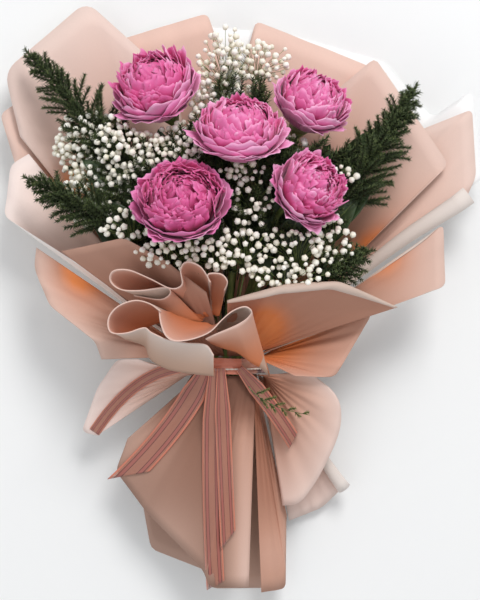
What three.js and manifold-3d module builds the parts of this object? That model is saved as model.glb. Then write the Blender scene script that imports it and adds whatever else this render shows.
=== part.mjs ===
// A hand-tied bunch of peonies in a paper wrap, lying on its back on the table.
// Millimetres. +Z is up from the table, +Y points to the flower end, -Y to the cut stem ends.
import * as THREE from "three";
import Module from "manifold-3d";
import { mergeVertices } from "three/addons/utils/BufferGeometryUtils.js";

const wasm = await Module();
wasm.setup();

// ---------------------------------------------------------------- driving dimensions
const PAPER = 0.8;            // thickness of a wrapping sheet
const RIBBON = 0.6;           // thickness of a ribbon tail
const NECK = [-12, -72, 56];  // middle of the tied neck
const NECK_HEAD_Y = -62;      // plane where the head sheets gather
const NECK_FOOT_Y = -82;      // plane where the skirt sheets gather
const INNER_GATHER = 21;      // radius of the innermost sheet at the neck
const LAYER = 1.6;            // radial step from one gathered sheet to the next
const BINDING = [25, 26.6];     // inner and outer radius of the stem tape
const BAND = [40, 41.4];      // inner and outer radius of the ribbon band
const BAND_WIDTH = 16;
const CORD_RADIUS = 1;
const STEM = 3.4;             // radius of a peony stem
const SPRAY_STEM = 1.6;
const SPRIG_STEM = 1.5;
const FOOT_Y = -288;          // cut ends of the stems
const FOOT_Z = 34;
const GAP = 0.6;              // clearance kept where one piece is cut back by another

// ---------------------------------------------------------------- materials
const paint = (name, hex, roughness) =>
  Object.assign(new THREE.MeshStandardMaterial({ color: hex, roughness }), { name });
const WHITE_PAPER = paint("paper_white", 0xf4efeb, 0.9);
const PEACH_PAPER = paint("paper_peach", 0xf0cdbd, 0.85);
const PETAL = paint("petal_pink", 0xdf86b6, 0.6);
const GREEN_STEM = paint("stem_green", 0x5f7a3a, 0.6);
const LEAF = paint("leaf_green", 0x3c4a2a, 0.6);
const GYPSOPHILA = paint("gypsophila_white", 0xf6f2e6, 0.8);
const SPRIG = paint("sprig_green", 0x46502f, 0.7);
const RIBBON_SHEER = paint("ribbon_sheer", 0xb98a80, 0.5);
const CORD = paint("cord_pale", 0xe8dccb, 0.7);
const TAPE = paint("stem_tape", 0x6f8a55, 0.5);

// ---------------------------------------------------------------- small helpers
const { sin, cos, abs, min, max, PI } = Math;
const rad = THREE.MathUtils.degToRad;
const lerp = THREE.MathUtils.lerp;
const V = (x, y, z) => new THREE.Vector3(x, y, z);
const mix = (a, b, t) => a.clone().lerp(b, t);

const bunch = new THREE.Group();
bunch.name = "peony_bunch";

function add(name, geometry, material) {
  const mesh = new THREE.Mesh(geometry, material.clone());
  mesh.name = name;
  bunch.add(mesh);
  return mesh;
}

// Turns corner and triangle lists into a geometry that faces outwards.
function solid(points, triangles) {
  let volume = 0;
  for (const [a, b, c] of triangles)
    volume += points[a].dot(points[b].clone().cross(points[c]));
  const index = triangles.flatMap(([a, b, c]) => (volume < 0 ? [a, c, b] : [a, b, c]));
  const geometry = new THREE.BufferGeometry();
  geometry.setAttribute("position",
    new THREE.Float32BufferAttribute(points.flatMap((p) => [p.x, p.y, p.z]), 3));
  geometry.setIndex(index);
  return geometry;
}

// A closed thin shell on a grid of points; the thickness is added on the grid's upper side.
function shell(grid, thickness) {
  const rows = grid.length, cols = grid[0].length;
  const normals = grid.map((line, i) => line.map((p, j) => {
    const along = grid[min(i + 1, rows - 1)][j].clone().sub(grid[max(i - 1, 0)][j]);
    const across = line[min(j + 1, cols - 1)].clone().sub(line[max(j - 1, 0)]);
    return across.cross(along).normalize();
  }));
  const side = normals.flat().reduce((sum, n) => sum + n.z, 0) < 0 ? -1 : 1;
  const upper = grid.map((line, i) => line.map((p, j) =>
    p.clone().addScaledVector(normals[i][j], side * thickness)));
  const points = [...grid.flat(), ...upper.flat()];
  const low = (i, j) => i * cols + j;
  const high = (i, j) => rows * cols + i * cols + j;
  const triangles = [];
  const quad = (a, b, c, d) => triangles.push([a, b, c], [a, c, d]);
  for (let i = 0; i + 1 < rows; i++)
    for (let j = 0; j + 1 < cols; j++) {
      quad(low(i, j), low(i + 1, j), low(i + 1, j + 1), low(i, j + 1));
      quad(high(i, j), high(i, j + 1), high(i + 1, j + 1), high(i + 1, j));
    }
  for (let i = 0; i + 1 < rows; i++) {
    quad(low(i, 0), high(i, 0), high(i + 1, 0), low(i + 1, 0));
    quad(low(i, cols - 1), low(i + 1, cols - 1), high(i + 1, cols - 1), high(i, cols - 1));
  }
  for (let j = 0; j + 1 < cols; j++) {
    quad(low(0, j), low(0, j + 1), high(0, j + 1), high(0, j));
    quad(low(rows - 1, j), high(rows - 1, j), high(rows - 1, j + 1), low(rows - 1, j + 1));
  }
  return solid(points, triangles);
}

// ---------------------------------------------------------------- paper sheets
// A sheet corner: bearing clockwise from the flower end, reach from the neck, height above table.
function corner(bearing, reach, height, centre = NECK) {
  return V(centre[0] + reach * sin(rad(bearing)), centre[1] + reach * cos(rad(bearing)), height);
}

// The free edge of a sheet as evenly spaced points, straight between softly rounded corners.
function freeEdge(corners, count, rounding) {
  const path = new THREE.CurvePath();
  let from = corners[0];
  for (let k = 1; k + 1 < corners.length; k++) {
    const [a, b, c] = [corners[k - 1], corners[k], corners[k + 1]];
    const cut = (p) => mix(b, p, min(rounding / b.distanceTo(p), 0.45));
    path.add(new THREE.LineCurve3(from, cut(a)));
    path.add(new THREE.QuadraticBezierCurve3(cut(a), b, cut(c)));
    from = cut(c);
  }
  path.add(new THREE.LineCurve3(from, corners.at(-1)));
  return Array.from({ length: count + 1 }, (_, k) => path.getPointAt(k / count));
}

// A sheet runs in straight folds from its place in the gathered neck to its free edge.
function sheetGrid({ gather, layer, corners, foot = false, rounding = 14, across = 10, steps = 2,
  centre = NECK, ring, pleats = 0, depth = 0, side = 0, curl = 0 }) {
  const radius = ring ?? INNER_GATHER + LAYER * layer;
  const gatherY = ring ? centre[1] : foot ? NECK_FOOT_Y : NECK_HEAD_Y;
  const edge = freeEdge(corners, across, rounding);
  const grid = edge.map((end, k) => {
    const u = k / across;
    const turn = rad(lerp(gather[0], gather[1], u));
    const start = V(centre[0] + radius * sin(turn), gatherY, centre[2] - radius * cos(turn));
    const line = [];
    for (let s = 0; s <= steps; s++) {
      const p = mix(start, end, s / steps);
      p.z = max(0, p.z + depth * (s / steps) * cos(2 * PI * pleats * u));
      line.push(p);
    }
    return line;
  });
  if (side) rollSide(grid, side);
  if (curl) curlEdge(grid, curl);
  return grid;
}

// Rolls the last long side of a sheet up into an open tube.
function rollSide(grid, radius) {
  const ROLL_STEPS = 6, ROLL_TURN = 255;
  const last = grid.at(-1), before = grid.at(-2);
  for (let k = 1; k <= ROLL_STEPS; k++) {
    const turn = rad((ROLL_TURN * k) / ROLL_STEPS);
    grid.push(last.map((p, s) => {
      const r = radius * (0.15 + (0.85 * s) / (last.length - 1));
      const ray = last.at(-1).clone().sub(last[0]).normalize();
      const out = p.clone().sub(before[s]).projectOnPlane(ray).normalize();
      const up = ray.clone().cross(out).normalize();
      if (up.z < 0) up.negate();
      return p.clone().addScaledVector(out, r * sin(turn)).addScaledVector(up, r * (1 - cos(turn)));
    }));
  }
}

// Rolls the free edge over, most in the middle of its length.
function curlEdge(grid, radius) {
  const CURL_STEPS = 4, CURL_TURN = 190;
  grid.forEach((line, i) => {
    const u = i / (grid.length - 1);
    const r = radius * (0.2 + 0.8 * sin(PI * u));
    const end = line.at(-1).clone();
    const ray = end.clone().sub(line[0]).normalize();
    const over = V(0, 0, 1).projectOnPlane(ray).normalize();
    for (let k = 1; k <= CURL_STEPS; k++) {
      const turn = rad((CURL_TURN * k) / CURL_STEPS);
      line.push(end.clone().addScaledVector(ray, r * sin(turn))
        .addScaledVector(over, r * (1 - cos(turn))));
    }
  });
}

const sheets = {
  // outermost sheet, flat on the table in the middle; corners below the table mean "lies on it"
  back_white: { gather: [-22, 48], layer: 11, across: 12, steps: 4, material: WHITE_PAPER,
    corners: [corner(-4, 356, -30), corner(10, 354, -30), corner(28, 360, -30),
      corner(40, 338, 10), corner(42, 385, 22), corner(54, 330, 40)] },
  back_left_inner: { gather: [-46, -4], layer: 9,
    corners: [corner(-24, 340, 14), corner(-19, 358, 13), corner(-3, 369, 9), corner(-1, 330, 7)] },
  back_middle: { gather: [2, 33], layer: 9,
    corners: [corner(3, 304, 8), corner(5, 362, 9), corner(29, 349, 11)] },
  back_left: { gather: [-78, -12], layer: 7,
    corners: [corner(-42, 318, 44), corner(-37, 381, 42), corner(-21, 406, 26),
      corner(-10, 300, 18)] },
  back_right: { gather: [30, 88], layer: 6,
    corners: [corner(22, 309, 20), corner(26, 357, 20), corner(48, 310, 48),
      corner(49, 225, 62)] },
  side_right: { gather: [38, 56], layer: 10, side: 11,
    corners: [corner(40, 320, 32), corner(44, 369, 36), corner(53, 325, 44),
      corner(55, 306, 46)] },
  side_right_low: { gather: [92, 124], layer: 8,
    corners: [corner(58, 236, 70), corner(57, 266, 70), corner(70, 238, 88),
      corner(70, 159, 92)] },
  side_left: { gather: [-88, -50], layer: 9,
    corners: [corner(-49, 279, 44), corner(-42, 350, 34), corner(-38, 348, 30),
      corner(-32, 316, 20)] },
  side_left_low: { gather: [-108, -82], layer: 7,
    corners: [corner(-55, 170, 84), corner(-56, 274, 62), corner(-47, 303, 50),
      corner(-43, 298, 48)] },
  side_left_front: { gather: [-134, -112], layer: 7,
    corners: [corner(-87, 126, 86), corner(-79, 134, 94), corner(-71, 189, 88), corner(-63, 219, 76),
      corner(-58, 228, 70)] },
  collar_left: { gather: [-122, -178], layer: 4,
    corners: [corner(-55, 202, 104), corner(-38, 163, 138), corner(-29, 121, 140),
      corner(-14, 77, 130)] },
  collar_right: { gather: [176, 122], layer: 4, curl: 7,
    corners: [corner(2, 66, 132), corner(36, 99, 142), corner(53, 138, 134),
      corner(71, 182, 112)] },
  flap_right: { gather: [92, 132], layer: 11,
    corners: [corner(64, 168, 60), corner(71, 158, 68), corner(96, 112, 80),
      corner(98, 72, 84)] },

  skirt_back: { foot: true, gather: [-88, 70], layer: 8, steps: 4, across: 12,
    corners: [corner(-136, 139, 6), corner(-158, 211, -16), corner(-175, 220, -20),
      corner(-176, 238, -20), corner(-192, 242, -20), corner(-200, 170, -4)] },
  skirt_front: { foot: true, gather: [-130, -242], layer: 9, across: 14,
    corners: [corner(-127, 126, 56), corner(-134, 158, 46), corner(-153, 174, 44),
      corner(-174, 212, 62), corner(-176, 228, 68), corner(-186, 229, 60)] },
  skirt_inner: { foot: true, gather: [84, 112], layer: 6, across: 8,
    corners: [corner(158, 170, 24), corner(165, 242, 24), corner(171, 238, 50)] },
  skirt_right: { foot: true, gather: [84, 124], layer: 11,
    corners: [corner(158, 158, 36), corner(152, 164, 44), corner(140, 151, 52),
      corner(119, 137, 64), corner(105, 122, 68), corner(94, 86, 72)] },
  skirt_scoop: { foot: true, gather: [73, 79], layer: 9, across: 6, side: 8,
    corners: [corner(158, 178, 10), corner(146, 182, 12), corner(136, 178, 18)] },
  skirt_left: { foot: true, gather: [-94, -128], layer: 11,
    corners: [corner(-119, 152, 40), corner(-115, 165, 38), corner(-100, 134, 54),
      corner(-87, 112, 60), corner(-86, 90, 66)] },
};

for (const [name, spec] of Object.entries(sheets))
  add(`paper_${name}`, shell(sheetGrid(spec), PAPER), spec.material ?? PEACH_PAPER);

// ---------------------------------------------------------------- pleated paper ruffle
const PINCH = [-16, -56, 107];  // where the ruffle is pinched, just above the tied neck
const fold = (bearing, reach, height) => corner(bearing, reach, height, PINCH);
const ruffle = {
  fan: { gather: [262, 186], ring: 8, across: 24, pleats: 6, depth: 6,
    corners: [fold(-66, 140, 134), fold(-49, 126, 152), fold(-23, 92, 166), fold(4, 64, 162)] },
  sweep: { gather: [278, 340], ring: 7, across: 14, pleats: 2.5, depth: 5,
    corners: [fold(-70, 128, 124), fold(-84, 116, 118), fold(-98, 104, 112),
      fold(-120, 62, 108), fold(-150, 24, 108)] },
  loop: { gather: [172, 84], ring: 7, across: 10, pleats: 1.5, depth: -5,
    corners: [fold(10, 44, 158), fold(40, 52, 158), fold(72, 54, 146), fold(104, 46, 124)] },
};
for (const [name, spec] of Object.entries(ruffle))
  add(`ruffle_${name}`,
    shell(sheetGrid({ centre: PINCH, layer: 0, rounding: 20, ...spec }), PAPER), PEACH_PAPER);

// ---------------------------------------------------------------- limbs: stems, plumes, cord
// A round rod along a curve; its radius follows radiusAt(0..1) and both ends close to a point.
function limb(points, radiusAt, sides = 6, stations = 10) {
  const curve = new THREE.CatmullRomCurve3(points, false, "centripetal");
  const places = Array.isArray(stations) ? stations
    : Array.from({ length: stations + 1 }, (_, i) => i / stations);
  let normal = V(1, 0, 0);
  const rings = places.map((t) => {
    const centre = curve.getPointAt(t), ahead = curve.getTangentAt(t);
    normal = normal.clone().projectOnPlane(ahead).normalize();
    const other = ahead.cross(normal);
    return Array.from({ length: sides }, (_, k) => centre.clone()
      .addScaledVector(normal, radiusAt(t) * cos((2 * PI * k) / sides))
      .addScaledVector(other, radiusAt(t) * sin((2 * PI * k) / sides)));
  });
  return closedRings(curve.getPointAt(0), rings, curve.getPointAt(1));
}

// Closes a stack of rings with a point at either end.
function closedRings(first, rings, last) {
  const sides = rings[0].length;
  const points = [first, ...rings.flat(), last];
  const at = (i, k) => 1 + i * sides + (k % sides);
  const triangles = [];
  for (let k = 0; k < sides; k++) {
    triangles.push([0, at(0, k), at(0, k + 1)],
      [points.length - 1, at(rings.length - 1, k + 1), at(rings.length - 1, k)]);
    for (let i = 0; i + 1 < rings.length; i++)
      triangles.push([at(i, k), at(i + 1, k), at(i + 1, k + 1)],
        [at(i, k), at(i + 1, k + 1), at(i, k + 1)]);
  }
  return solid(points, triangles);
}

// A stem's place in the neck, sideways and upwards from the neck's middle.
const inNeck = ([sideways, up], y = NECK[1]) => V(NECK[0] + sideways, y, NECK[2] + up);
const cutEnd = ([sideways, up]) => V(NECK[0] + 6 + sideways * 1.15, FOOT_Y + abs(sideways),
  FOOT_Z + up * 1.1);

// ---------------------------------------------------------------- solids joined and cut
function toManifold(geometry) {
  const bare = geometry.clone();
  bare.deleteAttribute("normal");
  bare.deleteAttribute("uv");
  const merged = mergeVertices(bare, 1e-4);
  return new wasm.Manifold(new wasm.Mesh({ numProp: 3,
    vertProperties: new Float32Array(merged.attributes.position.array),
    triVerts: new Uint32Array(merged.index.array) }));
}

function fromManifold(manifold) {
  const mesh = manifold.getMesh();
  const geometry = new THREE.BufferGeometry();
  geometry.setAttribute("position", new THREE.BufferAttribute(mesh.vertProperties, 3));
  geometry.setIndex(new THREE.BufferAttribute(mesh.triVerts, 1));
  return geometry;
}

// Cuts the obstacles out of a solid and keeps its largest remaining body.
function cutBack(whole, obstacles) {
  let rest = whole;
  for (const obstacle of obstacles) rest = rest.subtract(obstacle);
  return rest.decompose().reduce((a, b) => (a.volume() > b.volume() ? a : b));
}

// ---------------------------------------------------------------- peonies
// Each bloom: middle of the head, facing direction, radius, depth, its stem's place in the neck.
const blooms = {
  top_left: { at: V(-81, 206, 112), faces: V(-0.35, 0.66, 0.66), radius: 47, depth: 68,
    neck: [-9.3, -5] },
  top_right: { at: V(75, 193, 96), faces: V(0.4, 0.75, 0.55), radius: 43, depth: 60,
    neck: [7.6, -5.5] },
  centre: { at: V(3, 161, 144), faces: V(0.02, 0.82, 0.57), radius: 49, depth: 60,
    neck: [0, 0] },
  lower_left: { at: V(-54, 90, 164), faces: V(-0.1, 0.58, 0.8), radius: 49, depth: 60,
    neck: [-9, 7.5] },
  lower_right: { at: V(71, 103, 142), faces: V(0.5, 0.35, 0.79), radius: 40, depth: 64,
    neck: [11.5, 3] },
};
const CUP = 3;        // thickness of the layered guard petals
const CUP_GAP = 0.8;  // room between the cup and the crown
const CALYX = 11;     // radius of the calyx under the head
const CALYX_AT = 0.965; // where along the stem the calyx begins
const STEM_STATIONS = [0, 0.25, 0.4, 0.5, 0.6, 0.7, 0.8, 0.87, 0.93, CALYX_AT, 1];
const RIM = 0.42;     // rim of the cup, as a share of the way from the head's top to its base
const WALL = [0.6, 0.78, 0.93]; // levels below the rim, as the same share

function headMatrix({ at, faces }) {
  const turn = new THREE.Quaternion().setFromUnitVectors(V(0, 0, 1), faces.clone().normalize());
  return new THREE.Matrix4().compose(at, turn, V(1, 1, 1));
}

// One ring of points of a head at the given share of the way from top to base.
function headRing(share, radius, halfDepth, sides, ruffle) {
  const polar = share * PI;
  return Array.from({ length: sides }, (_, k) => {
    const turn = (2 * PI * k) / sides;
    const r = radius * sin(polar) * (1 + ruffle(turn, share));
    return V(r * cos(turn), r * sin(turn), halfDepth * cos(polar) * (1 + ruffle(turn + 1, share)));
  });
}

function crown({ radius, depth }) {
  const SIDES = 15, TOP = [0.1, 0.22, 0.33];
  const r = radius - CUP - CUP_GAP, half = depth / 2 - CUP - CUP_GAP;
  const ruffle = (turn, share) => -0.05 + 0.05 * sin(5 * turn + 9 * share) * (share < RIM ? 1 : 0.4);
  const rings = [...TOP, RIM, ...WALL].map((share) => headRing(share, r, half, SIDES, ruffle));
  return closedRings(V(0, 0, half * 0.9), rings, V(0, 0, -half * 0.95));
}

function guardCup({ radius, depth }) {
  const SIDES = 15, SCALLOP = 0.035;
  const rim = (k) => RIM + SCALLOP * cos((2 * PI * 5 * k) / SIDES);
  const wall = (inset) => [RIM, ...WALL].map((level) => Array.from({ length: SIDES }, (_, k) => {
    const share = level === RIM ? rim(k) : level;
    const turn = (2 * PI * k) / SIDES;
    const r = (radius - inset) * sin(share * PI);
    return V(r * cos(turn), r * sin(turn), (depth / 2 - inset) * cos(share * PI));
  }));
  const inner = wall(CUP), outer = wall(0);
  return closedRings(V(0, 0, -(depth / 2 - CUP)), [...inner.reverse(), ...outer],
    V(0, 0, -depth / 2));
}

function headEnvelope({ radius, depth }, grow) {
  const ball = new THREE.SphereGeometry(1.03, 12, 8);
  return ball.scale(radius + grow, radius + grow, depth / 2 + grow);
}

const obstacles = [];
for (const [name, bloom] of Object.entries(blooms)) {
  const place = headMatrix(bloom);
  const base = V(0, 0, -bloom.depth / 2 - GAP).applyMatrix4(place);
  const facing = bloom.faces.clone().normalize();
  const behind = base.clone().addScaledVector(facing, -24);
  const bend = mix(inNeck(bloom.neck), behind, 0.62);
  const way = [cutEnd(bloom.neck), inNeck(bloom.neck), bend, behind, base];
  const thickness = (t) => (t > CALYX_AT ? lerp(STEM, CALYX, (t - CALYX_AT) / (1 - CALYX_AT))
    : STEM);
  const rod = (grow) => limb(way, (t) => thickness(t) + grow, 6, STEM_STATIONS);
  add(`peony_${name}_stem`, rod(0), GREEN_STEM);
  add(`peony_${name}_guard_petals`, guardCup(bloom).applyMatrix4(place), PETAL);
  add(`peony_${name}_crown`, crown(bloom).applyMatrix4(place), PETAL);
  obstacles.push(toManifold(headEnvelope(bloom, GAP).applyMatrix4(place)), toManifold(rod(GAP)));
}

// ---------------------------------------------------------------- peony leaves
// A leaf blade with a keel: root, tip, half width, and how far its middle arches.
function leaf({ root, tip, halfWidth, arch }, grow = 0) {
  const STEPS = 6, THICK = 1, KEEL = 0.3;
  const sideways = tip.clone().sub(root).cross(V(0, 0, 1)).normalize();
  const grid = Array.from({ length: STEPS + 1 }, (_, i) => {
    const t = i / STEPS;
    const half = max(1, halfWidth * sin(PI * t ** 0.8)) + grow;
    const spine = mix(root, tip, t).add(V(0, 0, arch * sin(PI * t) - grow));
    return [-1, 0, 1].map((s) => spine.clone().addScaledVector(sideways, s * half)
      .add(V(0, 0, abs(s) * half * KEEL)));
  });
  return shell(grid, THICK + 2 * grow);
}
const leaves = {
  left: { root: V(-92, 96, 96), tip: V(-156, 136, 112), halfWidth: 15, arch: 6 },
  middle: { root: V(14, 60, 82), tip: V(36, 12, 106), halfWidth: 11, arch: 6 },
  right: { root: V(106, 132, 66), tip: V(160, 176, 66), halfWidth: 13, arch: 4 },
};
for (const [name, blade] of Object.entries(leaves)) {
  add(`peony_leaf_${name}`, leaf(blade), LEAF);
  obstacles.push(toManifold(leaf(blade, GAP)));
}

// ---------------------------------------------------------------- gypsophila sprays
// Each spray: its stem's place in the neck and the puffs of florets as middle and three half axes.
const sprays = {
  left: { neck: [-15.1, -5.4],
    puffs: [[V(-136, 104, 92), V(38, 34, 20)], [V(-150, 150, 84), V(32, 36, 18)],
      [V(-112, 148, 112), V(26, 34, 20)]] },
  top: { neck: [-0.6, -11],
    puffs: [[V(-2, 222, 66), V(34, 34, 20)], [V(10, 254, 56), V(24, 18, 14)]] },
  middle: { neck: [5.5, 5.5],
    puffs: [[V(14, 100, 118), V(22, 40, 26)], [V(8, 46, 132), V(26, 24, 18)]] },
  lower_left: { neck: [-14.5, 7],
    puffs: [[V(-104, 74, 128), V(32, 14, 16)], [V(-36, 36, 141), V(20, 12, 12)]] },
  lower_right: { neck: [13.5, 9],
    puffs: [[V(60, 44, 130), V(34, 22, 18)], [V(96, 54, 116), V(22, 22, 16)]] },
};
const puffShape = ([at, half]) => {
  const ball = new THREE.SphereGeometry(1, 8, 6);
  const spots = ball.attributes.position;
  for (let i = 0; i < spots.count; i++) {
    const [x, y, z] = [spots.getX(i), spots.getY(i), spots.getZ(i)];
    const lump = 1 + 0.09 * sin(5 * x + 3 * y) * cos(4 * z + 2 * y);
    spots.setXYZ(i, x * lump, y * lump, z * lump);
  }
  return ball.scale(half.x, half.y, half.z).translate(at.x, at.y, at.z);
};
const spraySolids = Object.entries(sprays).map(([name, { neck, puffs }]) => {
  const [first, ...others] = puffs;
  const way = mix(inNeck(neck), first[0], 0.6);
  let whole = toManifold(limb([cutEnd(neck), inNeck(neck), way, first[0]], () => SPRAY_STEM, 4, 8));
  whole = whole.add(toManifold(puffShape(first)));
  for (const puff of others) {
    const branch = limb([mix(way, first[0], 0.5), mix(way, puff[0], 0.7), puff[0]],
      () => SPRAY_STEM, 4, 3);
    whole = whole.add(toManifold(branch)).add(toManifold(puffShape(puff)));
  }
  return [name, whole];
});

// ---------------------------------------------------------------- needle-leaved sprigs
// Each sprig: its stem's place in the neck, the middle and tip of the plume, the plume's radius.
const sprigs = {
  upper_left: { neck: [-12.5, -10], middle: V(-132, 154, 88), tip: V(-208, 243, 66), plume: 11 },
  right: { neck: [14.3, -7.2], middle: V(112, 96, 96), tip: V(178, 203, 82), plume: 15 },
  lower_left: { neck: [-15, 1.5], middle: V(-128, 40, 100), tip: V(-204, 114, 92), plume: 9 },
  lower_right: { neck: [16.3, -1.2], middle: V(76, 10, 104), tip: V(118, 36, 106), plume: 9 },
};
const PLUME_AT = 0.66; // where along the sprig the needles begin
const SPRIG_STATIONS = [0, 0.35, 0.5, 0.6, PLUME_AT, 0.7, 0.78, 0.86, 0.93, 0.98, 1];
for (const [name, { neck, middle, tip, plume }] of Object.entries(sprigs)) {
  const radius = (t) => (t < PLUME_AT ? SPRIG_STEM
    : SPRIG_STEM + (plume - SPRIG_STEM) * sin((PI * (t - PLUME_AT)) / (1.04 - PLUME_AT)) ** 0.6);
  const way = [cutEnd(neck), inNeck(neck), mix(inNeck(neck), middle, 0.6), middle, tip];
  const rod = (grow) => toManifold(limb(way, (t) => radius(t) + grow, 6, SPRIG_STATIONS));
  add(`sprig_${name}`, fromManifold(cutBack(rod(0), obstacles)), SPRIG);
  obstacles.push(rod(GAP));
}
add("sprig_stray", limb([V(12, -92, 108), V(34, -110, 98), V(74, -122, 86)],
  (t) => 1 + 3 * sin(PI * t), 5, 6), SPRIG);

for (const [name, whole] of spraySolids) {
  const cut = cutBack(whole, obstacles);
  add(`gypsophila_${name}`, fromManifold(cut), GYPSOPHILA);
  obstacles.push(cut);
}

// ---------------------------------------------------------------- neck: tape, band and cord
function hoop([inner, outer], width, y) {
  const shape = new THREE.Shape().absarc(0, 0, outer, 0, 2 * PI);
  shape.holes.push(new THREE.Path().absarc(0, 0, inner, 0, 2 * PI));
  const geometry = new THREE.ExtrudeGeometry(shape,
    { depth: width, bevelEnabled: false, curveSegments: 10 });
  return geometry.rotateX(PI / 2).translate(NECK[0], y + width / 2, NECK[2]);
}
add("stem_tape", hoop(BINDING, 6, NECK[1]), TAPE);
add("ribbon_band", hoop(BAND, BAND_WIDTH, NECK[1]), RIBBON_SHEER);
const cord = new THREE.TorusGeometry(BAND[1] + CORD_RADIUS + 0.6, CORD_RADIUS, 5, 22);
add("tie_cord", cord.rotateX(PI / 2).translate(NECK[0], NECK[1] - 3, NECK[2]), CORD);

// ---------------------------------------------------------------- ribbon tails
// A flat strip along a curve; lean tips it sideways, the far end is cut on a slant.
function tail(points, width, lean = 0, slant = 0.5) {
  const STEPS = 7;
  const curve = new THREE.CatmullRomCurve3(points, false, "centripetal");
  const grid = Array.from({ length: STEPS + 1 }, (_, i) => {
    const centre = curve.getPointAt(i / STEPS);
    const ahead = curve.getTangentAt(i / STEPS);
    const sideways = ahead.clone().cross(V(0, 0, 1)).normalize();
    return [-0.5, 0.5].map((s) => centre.clone().addScaledVector(sideways, s * width)
      .add(V(0, 0, s * width * lean))
      .addScaledVector(ahead, i === STEPS ? s * width * slant : 0));
  });
  return shell(grid, RIBBON);
}
const tails = {
  far_left: tail([V(-46, -84, 92), V(-92, -107, 74), V(-148, -142, 48)], 10, 0.3, 0),
  left: tail([V(-36, -90, 97), V(-62, -128, 82), V(-112, -186, 55)], 25, 0.1, 0.8),
  middle_long: tail([V(-26, -92, 100), V(-26, -180, 86), V(-22, -298, 73)], 19, 0, 0.3),
  middle_short: tail([V(-16, -88, 104), V(-13, -160, 93), V(-9, -250, 81)], 19, 0, 0.7),
  right: tail([V(6, -92, 97), V(34, -114, 85), V(58, -150, 71)], 16, 0, 0.5),
};
for (const [name, geometry] of Object.entries(tails))
  add(`ribbon_tail_${name}`, geometry, RIBBON_SHEER);

// ---------------------------------------------------------------- set the bunch on its origin
const box = new THREE.Box3();
for (const mesh of bunch.children) {
  mesh.geometry.computeBoundingBox();
  box.union(mesh.geometry.boundingBox);
}
const middle = box.getCenter(V(0, 0, 0));
for (const mesh of bunch.children) {
  mesh.geometry.translate(-middle.x, -middle.y, -box.min.z);
  mesh.geometry.computeVertexNormals();
}

export default bunch;
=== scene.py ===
# %% [markdown]
# # A bunch of peonies in a paper wrap
# The bunch lies on its back on a table: five pink peonies, clouds of gypsophila and dark
# needle-leaved sprigs, gathered in loose peach paper and tied at the neck. The frame below is
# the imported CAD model. It says where every piece belongs, and each visible piece that follows is
# built over it, in metres, in the same frame: +Y runs to the flower end, +Z up from the table.

# %% Load the frame
import math
import random

import bpy
import numpy as np
from mathutils import Matrix, Vector, noise


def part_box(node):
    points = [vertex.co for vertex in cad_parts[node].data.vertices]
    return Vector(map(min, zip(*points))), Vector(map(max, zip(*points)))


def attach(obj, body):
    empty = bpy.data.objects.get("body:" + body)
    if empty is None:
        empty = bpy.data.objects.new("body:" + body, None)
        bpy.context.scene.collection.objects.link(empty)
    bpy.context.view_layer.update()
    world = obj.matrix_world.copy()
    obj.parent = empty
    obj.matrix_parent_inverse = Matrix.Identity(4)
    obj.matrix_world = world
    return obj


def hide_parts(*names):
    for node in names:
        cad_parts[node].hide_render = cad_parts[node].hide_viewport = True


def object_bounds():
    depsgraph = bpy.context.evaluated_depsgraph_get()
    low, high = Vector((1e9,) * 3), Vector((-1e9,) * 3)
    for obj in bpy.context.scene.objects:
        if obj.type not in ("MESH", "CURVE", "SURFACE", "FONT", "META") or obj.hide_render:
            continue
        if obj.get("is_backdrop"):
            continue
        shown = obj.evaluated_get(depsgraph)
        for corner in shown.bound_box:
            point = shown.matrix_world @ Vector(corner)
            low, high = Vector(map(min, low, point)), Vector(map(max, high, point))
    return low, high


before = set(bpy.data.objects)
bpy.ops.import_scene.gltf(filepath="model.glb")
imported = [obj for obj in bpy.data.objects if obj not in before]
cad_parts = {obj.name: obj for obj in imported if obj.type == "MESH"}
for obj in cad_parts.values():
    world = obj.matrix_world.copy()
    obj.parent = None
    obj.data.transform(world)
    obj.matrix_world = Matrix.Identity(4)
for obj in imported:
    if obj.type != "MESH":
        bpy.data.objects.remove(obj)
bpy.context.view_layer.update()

# %% [markdown]
# ## Where things are
# Everything in a tied bunch fans out from the tie, so the middle of the neck is the natural zero.
# The ribbon band is a ring round it, and the middle of that ring's box is the neck.

# %% The neck
MM = 0.001
band_low, band_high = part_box("ribbon_band")
NECK = np.array((Vector(band_low) + Vector(band_high)) / 2)
print("neck at", NECK.round(3))


def by_neck(x, y, z):
    """A place given in millimetres sideways and along from the neck, and up from the table."""
    return np.array([NECK[0] + x * MM, NECK[1] + y * MM, z * MM])


# %% [markdown]
# ## The camera
# A long lens from straight above keeps the sheets' outlines true, because near and far edges are
# drawn at almost the same scale. A short lens close by would swell the blooms.

# %% Camera
CAMERA_HEIGHT = 2.3    # metres above the table
LOOKS_AT = (15, 67)    # millimetres from the neck
PICTURE_TALL = 0.618   # how much of the table's length the picture holds at the neck's height
bpy.ops.object.camera_add(location=tuple(by_neck(*LOOKS_AT, CAMERA_HEIGHT / MM)),
                          rotation=(0, 0, 0))
camera = bpy.context.object
camera.data.lens = camera.data.sensor_width * (CAMERA_HEIGHT - NECK[2]) / PICTURE_TALL
bpy.context.scene.camera = camera
print("lens", round(camera.data.lens, 1), "mm")

# %% [markdown]
# ## Small tools
# The same few moves come back for every piece: select nothing, take a primitive as a blank, lay
# copies of the blank at their places, give a sheet its thickness. Each is written once here.


# %% Tools for directions, selecting and finishing
def unit(v):
    """The same direction with length 1."""
    v = np.asarray(v, float)
    return v / np.linalg.norm(v)


def select_only(piece=None):
    bpy.ops.object.select_all(action="DESELECT")
    if piece is not None:
        piece.select_set(True)
        bpy.context.view_layer.objects.active = piece


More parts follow.
